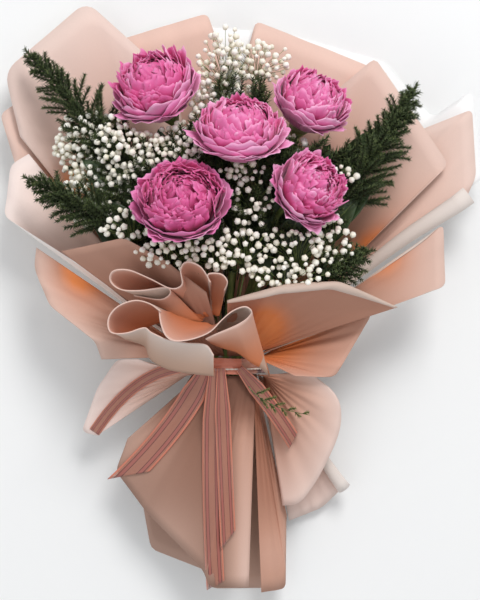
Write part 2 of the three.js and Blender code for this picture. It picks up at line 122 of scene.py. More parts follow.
def finish_piece(piece, nodes=(), materials=(), smooth=True):
    """Rides the piece on the bunch, hides the CAD parts that it stands for, and gives it its
    materials.
    """
    for material in materials:
        piece.data.materials.append(material)
    if smooth:
        select_only(piece)
        bpy.ops.object.shade_smooth()
    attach(piece, "root")
    if nodes:
        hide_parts(*nodes)
    return piece


def apply_modifier(piece, kind, **settings):
    """Adds a modifier with the given settings and applies it."""
    select_only(piece)
    bpy.ops.object.modifier_add(type=kind)
    modifier = piece.modifiers[-1]
    for name, value in settings.items():
        setattr(modifier, name, value)
    bpy.ops.object.modifier_apply(modifier=modifier.name)


# %% [markdown]
# Soft pieces start as a flat grid, and petals, needles and florets are wanted by the hundred. All
# copies of a blank go into one mesh, which is far quicker to build than many joined objects, and
# they can carry values, such as how near the tip a vertex is, for the materials to use.


# %% A flat blank, and copies of a blank
def grid_blank(across, along):
    """A flat grid primitive from x -1 to 1 and y 0 to 1, with its own UV map."""
    select_only()
    bpy.ops.mesh.primitive_grid_add(x_subdivisions=across, y_subdivisions=along, size=2)
    blank = bpy.context.object
    bpy.ops.object.mode_set(mode="EDIT")
    bpy.ops.mesh.select_all(action="SELECT")
    bpy.ops.transform.resize(value=(1, 0.5, 1))
    bpy.ops.transform.translate(value=(0, 0.5, 0))
    bpy.ops.object.mode_set(mode="OBJECT")
    return blank


def spots(blank):
    """The places of the blank's vertices, a row each."""
    flat = np.empty(len(blank.data.vertices) * 3)
    blank.data.vertices.foreach_get("co", flat)
    return flat.reshape(-1, 3)


def grid_index(flat, across, along):
    """The column and row of each vertex of a flat grid blank."""
    return (np.rint((flat[:, 0] + 1) / 2 * across).astype(int),
            np.rint(flat[:, 1] * along).astype(int))


def lay_copies(name, blank, places, values=None):
    """One new mesh that holds a copy of the blank for each array of vertex places."""
    mesh, count = blank.data, len(places)
    corners = np.empty(len(mesh.loops), dtype=np.int64)
    mesh.loops.foreach_get("vertex_index", corners)
    starts = np.empty(len(mesh.polygons), dtype=np.int64)
    mesh.polygons.foreach_get("loop_start", starts)
    sizes = np.empty(len(mesh.polygons), dtype=np.int64)
    mesh.polygons.foreach_get("loop_total", sizes)
    new = bpy.data.meshes.new(name)
    new.vertices.add(len(mesh.vertices) * count)
    new.vertices.foreach_set("co", np.concatenate(places).ravel())
    new.loops.add(len(corners) * count)
    new.loops.foreach_set("vertex_index", np.concatenate(
        [corners + k * len(mesh.vertices) for k in range(count)]))
    new.polygons.add(len(starts) * count)
    new.polygons.foreach_set("loop_start", np.concatenate(
        [starts + k * len(corners) for k in range(count)]))
    new.polygons.foreach_set("loop_total", np.tile(sizes, count))
    if mesh.uv_layers:
        uv = np.empty(len(corners) * 2)
        mesh.uv_layers[0].data.foreach_get("uv", uv)
        new.uv_layers.new(name="UVMap").data.foreach_set("uv", np.tile(uv, count))
    new.update(calc_edges=True)
    for key, value in (values or {}).items():
        new.attributes.new(key, "FLOAT", "POINT").data.foreach_set("value", np.asarray(value))
    new.validate()
    piece = bpy.data.objects.new(name, new)
    bpy.context.collection.objects.link(piece)
    bpy.data.objects.remove(blank)
    return piece


# %% [markdown]
# ## Materials
# Matt paper, petals, leaves and ribbon differ in colour and sheen, but all have a fine grain. One
# node group makes that grain: two noises, one for colour and one for height. The shaders stay in
# each material, where their own constant values are set.


# %% Colour and node helpers
def srgb(r, g, b):
    """A display colour, 0 to 255, as the linear colour that shaders use."""
    def linear(v):
        v /= 255
        return v / 12.92 if v <= 0.04045 else ((v + 0.055) / 1.055) ** 2.4
    return (linear(r), linear(g), linear(b), 1.0)


def maths(group, operation, *inputs):
    """A maths node whose inputs are numbers or other nodes' outputs."""
    node = group.nodes.new("ShaderNodeMath")
    node.operation = operation
    for socket, value in zip(node.inputs, inputs):
        if isinstance(value, float):
            socket.default_value = value
        else:
            group.links.new(value, socket)
    return node.outputs[0]


def grain_group():
    """Fine grain: a colour nudged by noise, and a height for a bump."""
    group = bpy.data.node_groups.new("fine_grain", "ShaderNodeTree")
    for name, kind, default in (("Color", "NodeSocketColor", (1, 1, 1, 1)),
                                ("Scale", "NodeSocketFloat", 600.0),
                                ("Amount", "NodeSocketFloat", 0.1)):
        group.interface.new_socket(name, in_out="INPUT", socket_type=kind).default_value = default
    group.interface.new_socket("Color", in_out="OUTPUT", socket_type="NodeSocketColor")
    group.interface.new_socket("Height", in_out="OUTPUT", socket_type="NodeSocketFloat")
    nodes, links = group.nodes, group.links
    start, end = nodes.new("NodeGroupInput"), nodes.new("NodeGroupOutput")
    place = nodes.new("ShaderNodeTexCoord")
    fine, broad = nodes.new("ShaderNodeTexNoise"), nodes.new("ShaderNodeTexNoise")
    fine.inputs["Detail"].default_value = 4
    broad.inputs["Scale"].default_value = 14
    broad.inputs["Detail"].default_value = 2
    for noises in (fine, broad):
        links.new(place.outputs["Object"], noises.inputs["Vector"])
    links.new(start.outputs["Scale"], fine.inputs["Scale"])
    swing = maths(group, "SUBTRACT",
                  maths(group, "ADD", fine.outputs["Fac"], broad.outputs["Fac"]), 1.0)
    tint = nodes.new("ShaderNodeVectorMath")
    tint.operation = "SCALE"
    links.new(start.outputs["Color"], tint.inputs[0])
    links.new(maths(group, "MULTIPLY_ADD", swing, start.outputs["Amount"], 1.0),
              tint.inputs["Scale"])
    links.new(tint.outputs[0], end.inputs["Color"])
    links.new(fine.outputs["Fac"], end.inputs["Height"])
    return group


GRAIN = grain_group()
GRAIN_DEEP = 0.0004    # metres
print("grain group sockets:", [s.name for s in GRAIN.interface.items_tree])


def new_material(name, roughness, **fixed):
    """A material with a Principled shader; fixed values are set on the shader's own sockets."""
    material = bpy.data.materials.new(name)
    material.use_nodes = True
    shader = material.node_tree.nodes["Principled BSDF"]
    shader.inputs["Roughness"].default_value = roughness
    for socket, value in fixed.items():
        shader.inputs[socket.replace("_", " ")].default_value = value
    return material, material.node_tree.nodes, material.node_tree.links, shader


def add_grain(material, colour_from, scale, amount, bump):
    """Runs the colour through the grain group and lets its height roughen the surface."""
    nodes, links = material.node_tree.nodes, material.node_tree.links
    shader = nodes["Principled BSDF"]
    group = nodes.new("ShaderNodeGroup")
    group.node_tree = GRAIN
    group.inputs["Scale"].default_value = scale
    group.inputs["Amount"].default_value = amount
    if isinstance(colour_from, tuple):
        group.inputs["Color"].default_value = colour_from
    else:
        links.new(colour_from, group.inputs["Color"])
    links.new(group.outputs["Color"], shader.inputs["Base Color"])
    lift = nodes.new("ShaderNodeBump")
    lift.inputs["Strength"].default_value = bump
    lift.inputs["Distance"].default_value = GRAIN_DEEP
    links.new(group.outputs["Height"], lift.inputs["Height"])
    links.new(lift.outputs["Normal"], shader.inputs["Normal"])


def ramp(nodes, links, value_from, stops):
    """A colour that runs through the stops as the value goes from 0 to 1."""
    node = nodes.new("ShaderNodeValToRGB")
    line = node.color_ramp
    while len(line.elements) < len(stops):
        line.elements.new(0.5)
    for element, (place, colour) in zip(line.elements, stops):
        element.position, element.color = place, colour
    links.new(value_from, node.inputs["Fac"])
    return node.outputs["Color"]


def attribute(nodes, name):
    """A value that a piece carries on its vertices."""
    node = nodes.new("ShaderNodeAttribute")
    node.attribute_name = name
    return node.outputs["Fac"]


# %% [markdown]
# Paper between other sheets is painted darker and warmer: painted shade, and a painted glow of the
# light that has come through them. A petal is deep pink at its base and pale at its rim, and a
# needle is bright only at its tip. Each piece carries such values on its vertices, and these
# materials turn them into colours.


# %% Paper, petal and plant materials
def ramp_material(name, value, stops, scale, amount, bump, roughness, **fixed):
    """A material whose colour runs along a value that each piece carries on its vertices."""
    material, nodes, links, _ = new_material(name, roughness, **fixed)
    colour = ramp(nodes, links, attribute(nodes, value), stops)
    add_grain(material, colour, scale, amount, bump)
    return material


# What the painted shade multiplies the paper's colour by: towards the dark end the painted shade
# turns brown.
SHADE = [(0.0, (0, 0, 0, 1)), (0.3, (0.36, 0.26, 0.21, 1)), (0.6, (0.66, 0.56, 0.50, 1)),
         (1.0, (1, 1, 1, 1))]


def paper_material(name, stops, scale, amount, bump, roughness):
    """Paper: warmth with painted glow picks the colour, and painted shade darkens it where layers
    shade each other.
    """
    material, nodes, links, _ = new_material(name, roughness)
    colour = ramp(nodes, links, attribute(nodes, "warmth_and_glow"), stops)
    shaded = nodes.new("ShaderNodeVectorMath")
    shaded.operation = "MULTIPLY"
    links.new(colour, shaded.inputs[0])
    links.new(ramp(nodes, links, attribute(nodes, "painted_shade"), SHADE), shaded.inputs[1])
    add_grain(material, shaded.outputs[0], scale, amount, bump)
    return material


# The deep ends of the paper ramps are used for painted glow and painted shade deep in the wrap.
PEACH = paper_material("paper_peach", [(0.0, srgb(249, 232, 225)), (0.35, srgb(243, 209, 195)),
                                       (0.7, srgb(226, 168, 142)), (1.0, srgb(244, 146, 82))],
                       900, 0.07, 0.25, 0.82)
PALE = paper_material("paper_pale_side", [(0.0, srgb(247, 242, 238)), (0.5, srgb(236, 222, 213)),
                                          (1.0, srgb(228, 200, 182))],
                      900, 0.05, 0.25, 0.85)
WHITE = paper_material("paper_white", [(0.0, srgb(250, 249, 248)), (1.0, srgb(236, 228, 222))],
                       900, 0.04, 0.2, 0.85)
PETAL = ramp_material("petal_pink", "reach",
                      [(0.0, srgb(168, 44, 96)), (0.4, srgb(216, 84, 146)),
                       (0.7, srgb(230, 112, 170)), (0.9, srgb(240, 146, 194)),
                       (1.0, srgb(248, 178, 214))],
                      500, 0.12, 0.25, 0.5, Sheen_Weight=0.25)
GUARD = ramp_material("petal_guard", "reach",
                      [(0.0, srgb(176, 66, 120)), (0.5, srgb(230, 130, 184)),
                       (1.0, srgb(248, 188, 220))],
                      500, 0.10, 0.25, 0.5, Sheen_Weight=0.25)
LEAF = ramp_material("leaf_green", "reach",
                     [(0.0, srgb(96, 112, 58)), (0.25, srgb(44, 62, 34)), (1.0, srgb(58, 78, 40))],
                     420, 0.25, 0.5, 0.42, Coat_Weight=0.15)
NEEDLE = ramp_material("sprig_green", "reach",
                       [(0.0, srgb(70, 54, 36)), (0.25, srgb(34, 42, 22)),
                        (0.7, srgb(70, 86, 44)), (1.0, srgb(124, 134, 72))],
                       500, 0.2, 0.2, 0.55)
FLORET = ramp_material("gypsophila_white", "reach",
                       [(0.0, srgb(150, 158, 104)), (0.2, srgb(206, 206, 160)),
                        (0.45, srgb(246, 240, 222)), (1.0, srgb(254, 251, 244))],
                       800, 0.08, 0.2, 0.7)
print("materials that follow a piece's values:", len(bpy.data.materials))

# %% [markdown]
# Stems, tape and cord are plainer: their colour only wanders softly between two greens or creams.


# %% Mottled materials
def mottled(name, stops, scale, grain, bump, roughness):
    """A material whose colour wanders softly between its stops."""
    material, nodes, links, _ = new_material(name, roughness)
    place = nodes.new("ShaderNodeTexCoord")
    patches = nodes.new("ShaderNodeTexNoise")
    patches.inputs["Scale"].default_value = scale
    patches.inputs["Detail"].default_value = 3
    links.new(place.outputs["Object"], patches.inputs["Vector"])
    colour = ramp(nodes, links, patches.outputs["Fac"], stops)
    add_grain(material, colour, grain, 0.12, bump)
    return material


STALK = mottled("stalk_green", [(0.3, srgb(92, 112, 56)), (0.7, srgb(136, 148, 84))],
                60, 800, 0.3, 0.5)
TAPE = mottled("stem_tape", [(0.3, srgb(96, 120, 74)), (0.7, srgb(124, 146, 96))],
               40, 500, 0.4, 0.6)
CORD = mottled("cord_pale", [(0.3, srgb(206, 190, 176)), (0.7, srgb(232, 220, 208))],
               200, 1500, 0.4, 0.6)
print("mottled:", STALK.name, TAPE.name, CORD.name)

# %% [markdown]
# Organza is sheer where only the ground weave crosses, and dense in its stripes. So the same
# striped value across the ribbon's UV map drives both its colour and its Alpha.


# %% Ribbon material
def organza():
    """Striped sheer ribbon: the ground weave lets light through, and the stripes hardly do."""
    material, nodes, links, shader = new_material("ribbon_sheer", 0.38, Sheen_Weight=0.4)
    place = nodes.new("ShaderNodeUVMap")
    place.uv_map = "UVMap"
    parts = nodes.new("ShaderNodeSeparateXYZ")
    links.new(place.outputs["UV"], parts.inputs[0])
    copper, dark = srgb(212, 124, 98), srgb(88, 40, 36)
    mauve, ground = srgb(166, 94, 82), srgb(192, 130, 108)
    stripes = ((0.07, copper), (0.14, ground), (0.17, dark), (0.30, mauve), (0.325, dark),
               (0.66, ground), (0.685, dark), (0.82, mauve), (0.85, dark), (0.93, ground),
               (1.0, copper))      # where each stripe ends across the width, and its colour
    line, begin = [], 0.0
    for end, stripe in stripes:
        line += [(begin, stripe), (end, stripe)]
        begin = end + 0.005
    colour = ramp(nodes, links, parts.outputs["X"], line)
    thin, thick = (0.62, 0.62, 0.62, 1), (0.96, 0.96, 0.96, 1)
    cover = ramp(nodes, links, parts.outputs["X"],
                 [(p, thin if c is ground else thick) for p, c in line])
    links.new(cover, shader.inputs["Alpha"])
    add_grain(material, colour, 1400, 0.12, 0.3)
    return material


ORGANZA = organza()
print("materials:", len(bpy.data.materials))

# %% [markdown]
# ## The paper sheets
# A stiff sheet that is gathered at one point can only bend in straight folds that all run to that
# point, like the folds of a fan. So each sheet is a flat grid, and its rows are laid on straight
# lines from a short arc of the neck to the sheet's free edge. The edge is straight between its
# corners, because the sheet was cut straight. Gathering squeezes small pleats into the paper near
# the neck, and a slow noise adds the soft buckles of handled paper.


# %% The shape of one sheet
INNER_GATHER, LAYER = 21, 1.6       # radius of the innermost gathered sheet, and step outwards
ACROSS, ALONG = 60, 18              # rows across a sheet, and points along each
PLEAT_HIGH = 1.2                    # height of the small pleats near the neck
NEAR_TABLE = 0.0002                 # metres; no sheet goes lower than this
HEAD_PLANE, FOOT_PLANE = 10, -10    # planes where head and skirt sheets leave the neck


def corner(bearing, reach, height):
    """Bearing clockwise from the flower end, reach from the neck, height above the table."""
    turn = math.radians(bearing)
    return by_neck(reach * math.sin(turn), reach * math.cos(turn), height)


def free_edge(corners, count, rounding):
    """Evenly spaced points along straight edges with softly rounded corners."""
    way, last = [], corners[0]
    for a, b, c in zip(corners, corners[1:], corners[2:]):
        cuts = [b + (p - b) * min(rounding / np.linalg.norm(p - b), 0.45) for p in (a, c)]
        way += [last + (cuts[0] - last) * s for s in np.linspace(0, 1, 30, endpoint=False)]
        way += [cuts[0] * (1 - s) ** 2 + 2 * b * s * (1 - s) + cuts[1] * s * s
                for s in np.linspace(0, 1, 16, endpoint=False)]
        last = cuts[1]
    way += [last + (corners[-1] - last) * s for s in np.linspace(0, 1, 30)]
    way = np.array(way)
    steps = np.concatenate([[0], np.cumsum(np.linalg.norm(np.diff(way, axis=0), axis=1))])
    at = np.linspace(0, steps[-1], count)
    return np.stack([np.interp(at, steps, way[:, k]) for k in range(3)], axis=1)


def smooth_noise(x, y, seed):
    return noise.noise(Vector((x, y, seed * 7.3)))


def sheet_grid(corners, gather, radius, plane, seed, rounding=7, buckle=2.5, creases=()):
    """Rows of points across the sheet; each row runs along one fold from the neck outwards."""
    edge = free_edge(corners, ACROSS, rounding * MM)
    grid = np.empty((ACROSS, ALONG, 3))
    for i, end in enumerate(edge):
        u = i / (ACROSS - 1)
        turn = math.radians(gather[0] + (gather[1] - gather[0]) * u)
        start = NECK + np.array([radius * math.sin(turn), plane, -radius * math.cos(turn)]) * MM
        for j in range(ALONG):
            t = j / (ALONG - 1)
            p = start + (end - start) * t
            p[2] += PLEAT_HIGH * MM * math.sin(u * 55 + 2 * math.sin(9 * u + seed)) \
                * t * (1 - t) ** 2 * 4
            p[2] += buckle * MM * (smooth_noise(3 * u, 2.2 * t, seed)
                                   + 0.5 * smooth_noise(8 * u, 3 * t, seed + 5)) * 2 * t
            for where, high, wide in creases:
                p[2] += high * MM * t * math.exp(-abs(u - where) / wide)
            p[2] = max(p[2], NEAR_TABLE)
            grid[i, j] = p
    return grid


# %% [markdown]
# Two sheets end in an open roll along one side, and the right collar's free edge curls over. A
# roll goes on from the last row of points, round a circle that widens away from the neck.


# %% Rolled sides and curled edges
def roll_side(grid, radius, steps=14, turn_by=300):
    """Continues the last fold into an open roll."""
    last, before = grid[-1], grid[-2]
    ray = unit(last[-1] - last[0])
    rows = []
    for k in range(1, steps + 1):
        turn = math.radians(turn_by * k / steps)
        row = []
        for s, p in enumerate(last):
            r = radius * MM * (0.15 + 0.85 * s / (len(last) - 1)) * (1 - 0.25 * k / steps)
            out = p - before[s]
            out = unit(out - ray * out.dot(ray))
            up = np.cross(ray, out)
            up *= 1 if up[2] > 0 else -1
            row.append(p + out * r * math.sin(turn) + up * r * (1 - math.cos(turn)))
        rows.append(row)
    return np.concatenate([grid, np.array(rows)])


def curl_edge(grid, radius, steps=10, turn_by=200):
    """Rolls the free edge over, most in the middle of its length."""
    longer = []
    for i, line in enumerate(grid):
        u = i / (len(grid) - 1)
        r = radius * MM * (0.2 + 0.8 * math.sin(math.pi * u))
        ray = unit(line[-1] - line[0])
        over = unit(np.array([0, 0, 1.0]) - ray * ray[2])
        extra = [line[-1] + ray * r * math.sin(math.radians(turn_by * k / steps))
                 + over * r * (1 - math.cos(math.radians(turn_by * k / steps)))
                 for k in range(1, steps + 1)]
        longer.append(np.concatenate([line, extra]))
    return np.array(longer)


# %% [markdown]
# Paper is peach on one side and pale on the other, so each sheet gets two finishes. The shade that
# the sheets cast on each other and the glow of light trapped between them are painted: every
# vertex carries its paper's warmth with painted glow, and its painted shade.


# %% From rows of points to a paper piece
PAPER_THICK, RUFFLE_THICK = 0.45, 1.1
# The ruffle's rim is given its own pale warmth and its own painted shade.
HEM_FROM, HEM_WARMTH, HEM_PAINTED_SHADE = 0.97, 0.3, 0.86     # the ruffle's pale rim


def near(place, spot, size):
    """Falls softly from 1 at the spot, seen from above."""
    far = np.linalg.norm(place[:, :2] - spot[:2], axis=1) / (size * MM)
    return np.exp(-far ** 2)


def paper_piece(name, grid, materials, warm, painted_shade, glow=(), light=(),
                thick=PAPER_THICK, up_at=None, hem=False):
    """Bends a flat grid primitive to the given rows and gives it thickness and two finishes."""
    level = np.cross(grid[1:, :-1] - grid[:-1, :-1], grid[:-1, 1:] - grid[:-1, :-1])[..., 2]
    if (level.sum() if up_at is None else level[int(up_at * len(level))].sum()) < 0:
        grid = grid[::-1]
    across, along = grid.shape[:2]
    blank = grid_blank(across - 1, along - 1)
    t = spots(blank)[:, 1]
    place = grid[grid_index(spots(blank), across - 1, along - 1)]
    # Painted glow and painted shade grow towards the neck; glow spots add to both, and light spots
    # add painted light.
    inwards = (1 - t) ** 0.9
    warmth_and_glow = warm[0] + (warm[1] - warm[0]) * inwards
    shade = painted_shade[0] + (painted_shade[1] - painted_shade[0]) * inwards
    for spot, size, strength in glow:
        warmth_and_glow = warmth_and_glow + strength * near(place, spot, size)
        shade = shade + 0.5 * strength * near(place, spot, size)
    for spot, size, strength in light:
        shade = shade + strength * near(place, spot, size)
    if hem:
        warmth_and_glow, shade = (np.where(t > HEM_FROM, HEM_WARMTH, warmth_and_glow),
                         np.where(t > HEM_FROM, HEM_PAINTED_SHADE, shade))
    piece = lay_copies(f"{name}_sheet", blank, [place],
                       {"warmth_and_glow": warmth_and_glow.clip(0, 1), "painted_shade": shade.clip(0, 1)})
    finish_piece(piece, [name], materials)
    apply_modifier(piece, "SOLIDIFY", thickness=thick * MM, offset=-1, material_offset=1)
    return piece


# %% [markdown]
# The sheets overlap like the leaves of a cabbage: the outermost lie lowest, the collars at the
# front come last. One side of the paper is peach and the other is pale, which shows wherever an
# edge rolls over. The numbers are each sheet's own: where its corners are, which arc of the neck
# it is gathered in, in which layer, and its warmth with painted glow and its painted shade, from
# its edge to the neck.
# A corner is a bearing clockwise from the flower end, a reach from the neck and a height.

# %% The wrap's sheets
SHEETS = {
    "back_white": dict(gather=(-22, 48), layer=11, warm=(0, 1), buckle=1.0,
        corners=[(-4, 356, -30), (10, 354, -30), (28, 360, -30), (40, 338, 10), (42, 385, 22),
                 (54, 330, 40)]),
    "back_left_inner": dict(gather=(-46, -4), layer=9, warm=(0.38, 0.7), painted_shade=(0.92, 0.7),
        corners=[(-24, 340, 14), (-19, 358, 13), (-3, 369, 9), (-1, 330, 7)]),
    "back_middle": dict(gather=(2, 33), layer=9, warm=(0.34, 0.7), painted_shade=(0.9, 0.66),
        corners=[(3, 304, 8), (5, 362, 9), (29, 349, 11)]),
    "back_left": dict(gather=(-78, -12), layer=7, warm=(0.12, 0.8), painted_shade=(0.86, 0.62),
        rounding=16,
        corners=[(-42, 318, 44), (-37, 381, 42), (-21, 406, 26), (-10, 300, 18)]),
    "back_right": dict(gather=(30, 88), layer=6, warm=(0.24, 0.95), painted_shade=(0.84, 0.5),
        corners=[(22, 309, 20), (26, 357, 20), (48, 310, 48), (49, 225, 62)]),
    "side_right": dict(gather=(38, 56), layer=10, warm=(0.16, 0.7), painted_shade=(0.84, 0.7), roll=11,
        corners=[(40, 320, 32), (44, 369, 36), (53, 325, 44), (55, 306, 46)]),
    "side_right_low": dict(gather=(92, 124), layer=8, warm=(0.2, 0.85), painted_shade=(0.72, 0.5),
        corners=[(58, 236, 70), (57, 266, 70), (70, 238, 88), (70, 159, 92)]),
    "side_left": dict(gather=(-88, -50), layer=9, warm=(0.25, 0.9), painted_shade=(0.86, 0.6),
        corners=[(-49, 279, 44), (-42, 350, 34), (-38, 348, 30), (-32, 316, 20)]),
    "side_left_low": dict(gather=(-108, -82), layer=7, warm=(0.02, 0.8), painted_shade=(1.0, 0.8),
        corners=[(-55, 170, 84), (-56, 274, 62), (-47, 303, 50), (-43, 298, 48)]),
    "side_left_front": dict(gather=(-134, -112), layer=7, warm=(0.18, 0.95), painted_shade=(0.68, 0.6),
        corners=[(-87, 126, 86), (-79, 134, 94), (-71, 189, 88), (-63, 219, 76), (-58, 228, 70)]),
    "collar_left": dict(gather=(-122, -178), layer=4, warm=(0.4, 0.75), painted_shade=(0.5, 0.32),
        corners=[(-55, 202, 104), (-38, 163, 138), (-29, 121, 140), (-14, 77, 130)]),
    "collar_right": dict(gather=(176, 122), layer=4, warm=(0.42, 0.75), painted_shade=(0.68, 0.42),
        curl=7, creases=[(0.35, -3, 0.1)],
        corners=[(2, 66, 132), (36, 99, 142), (53, 138, 134), (71, 182, 112)]),
    "flap_right": dict(gather=(92, 132), layer=11, warm=(0.5, 0.95), painted_shade=(0.72, 0.7),
        creases=[(0.62, 5, 0.1), (0.3, -4, 0.08)],
        corners=[(64, 168, 60), (71, 158, 68), (96, 112, 80), (98, 72, 84)]),
}
# Painted glow: warmer, brighter paper painted where light is caught between the sheets.
GLOW = {  # warm light caught between the sheets: place, size and strength
    "back_left": [(by_neck(-156, 187, 40), 22, 0.7)],
    "side_left": [(by_neck(-156, 187, 40), 26, 0.9)],
    "side_left_front": [(by_neck(-145, 101, 90), 30, 0.9)],
    "back_right": [(by_neck(161, 114, 50), 26, 0.9)],
    "side_right_low": [(by_neck(161, 114, 80), 30, 0.6)],
    "flap_right": [(by_neck(52, 47, 80), 34, 0.5)],
    "collar_right": [(by_neck(40, 40, 80), 22, 0.6)],
}
# Painted light: brighter paper painted where a sheet catches more light, as along the skirt's
# fold.
LIGHT = {  # paper that catches more light than the rest of its sheet: place, size and strength
    "skirt_front": [(by_neck(21, y, 70), 15, 0.24) for y in range(-225, -50, 16)]
    + [(by_neck(-62, -185, 60), 44, 0.16), (by_neck(-84, -76, 60), 36, 0.2)],
    "skirt_inner": [(by_neck(50, -190, 40), 34, 0.2)],
}


def build_sheet(name, plane, seed, corners, layer, warm, painted_shade=(1.0, 0.75), roll=0, curl=0,
                **shape):
    """One sheet of the wrap, with its roll or curl, its finishes, and its painted glow and shade.
    """
    grid = sheet_grid([corner(*c) for c in corners], radius=INNER_GATHER + LAYER * layer,
                      plane=plane, seed=seed, **shape)
    if roll:
        grid = roll_side(grid, roll)
    if curl:
        grid = curl_edge(grid, curl)
    materials, slot = ((WHITE, WHITE), "paper_white") if name == "back_white" \
        else ((PEACH, PALE), "paper_peach")
    return paper_piece(f"paper_{name}", grid, materials, warm, painted_shade, GLOW.get(name, ()),
                       LIGHT.get(name, ()))


for seed, (name, spec) in enumerate(SHEETS.items()):
    piece = build_sheet(name, HEAD_PLANE, seed, **spec)
print("head sheets:", len(SHEETS), "last has", len(piece.data.polygons), "faces")

# %% [markdown]
# Below the neck the same sheets open again into a skirt round the stems. Its front hangs in one
# broad panel with a crisp upright fold, the right side bulges, and a loose corner is rolled into
# a scoop.

# %% The skirt
# The skirt's front panel carries the darkest painted shade, and painted light along its upright
# fold.
SKIRT = {
    "skirt_back": dict(gather=(-88, 70), layer=8, warm=(0.2, 0.6), painted_shade=(0.5, 0.4), buckle=1.0,
        corners=[(-136, 139, 6), (-158, 211, -16), (-175, 220, -20), (-176, 238, -20),
                 (-192, 242, -20), (-200, 170, -4)]),
    "skirt_front": dict(gather=(-130, -242), layer=9, warm=(0.22, 0.6), painted_shade=(0.33, 0.22),
        creases=[(0.36, 6, 0.12), (0.78, 9, 0.05)],
        corners=[(-127, 126, 56), (-134, 158, 46), (-153, 174, 44), (-174, 212, 62),
                 (-176, 228, 68), (-186, 229, 60)]),
    "skirt_inner": dict(gather=(84, 112), layer=6, warm=(0.45, 0.8), painted_shade=(0.5, 0.42),
        corners=[(158, 170, 24), (165, 242, 24), (171, 238, 50)]),
    "skirt_right": dict(gather=(84, 124), layer=11, warm=(0.15, 0.8), painted_shade=(0.86, 0.42),
        rounding=26,
        corners=[(158, 158, 36), (152, 164, 44), (140, 151, 52), (119, 137, 64), (105, 122, 68),
                 (94, 86, 72)]),
    "skirt_scoop": dict(gather=(73, 79), layer=9, warm=(0.1, 0.6), painted_shade=(0.85, 0.6), roll=8,
        corners=[(158, 178, 10), (146, 182, 12), (136, 178, 18)]),
    "skirt_left": dict(gather=(-94, -128), layer=11, warm=(0.1, 0.6), painted_shade=(1.0, 0.78),
        corners=[(-119, 152, 40), (-115, 165, 38), (-100, 134, 54), (-87, 112, 60),
                 (-86, 90, 66)]),
}
for seed, (name, spec) in enumerate(SKIRT.items(), start=30):
    build_sheet(name, FOOT_PLANE, seed, **spec)
print("skirt sheets:", len(SKIRT))

# %% [markdown]
# ## The ruffle
# The bow of the wrap is a strip of thicker paper, set on edge and wound to and fro in loops, then
# pinched in the middle. Its rim is one smooth curve through the turns of the loops, and its lower
# edge another. The strip hangs steeply from the rim and runs flat to the pinch, so that every
# loop stays open. A ruled surface alone would close the loops like the folds of a fan.


# %% A strip between two curves
def smooth_path(points, steps=8):
    """A smooth curve through the points, with the same number of steps between each two."""
    p = np.array([by_neck(*q) for q in points])
    p = np.concatenate([[2 * p[0] - p[1]], p, [2 * p[-1] - p[-2]]])
    way = []
    for a, b, c, d in zip(p, p[1:], p[2:], p[3:]):
        for t in np.linspace(0, 1, steps, endpoint=False):
            way.append(0.5 * (2 * b + (c - a) * t + (2 * a - 5 * b + 4 * c - d) * t ** 2
                              + (3 * b - a - 3 * c + d) * t ** 3))
    return np.array(way + [p[-2]])


def strip_grid(rim, low, steep, along=12):
    """Rows from the lower edge to the rim; a steep strip drops from its rim like a wall."""
    rim, low = smooth_path(rim), smooth_path(low)
    share = np.interp(np.linspace(0, 1, len(rim)), np.linspace(0, 1, len(steep)), steep)
    grid = np.empty((len(rim), along, 3))
    for j in range(along):
        down = 1 - j / (along - 1)
        level = down ** (1 + 0.7 * share)
        drop = 1 - (1 - down) ** (1 + 1.6 * share)
        grid[:, j, :2] = rim[:, :2] + (low - rim)[:, :2] * level[:, None]
        grid[:, j, 2] = rim[:, 2] + (low - rim)[:, 2] * drop
    return grid


# %% [markdown]
# Three strips make the ruffle: a fan at the top left, a sweep with a square end below it, and a
# loop like a cone on the right. Each is wound through the turning points of its own loops.

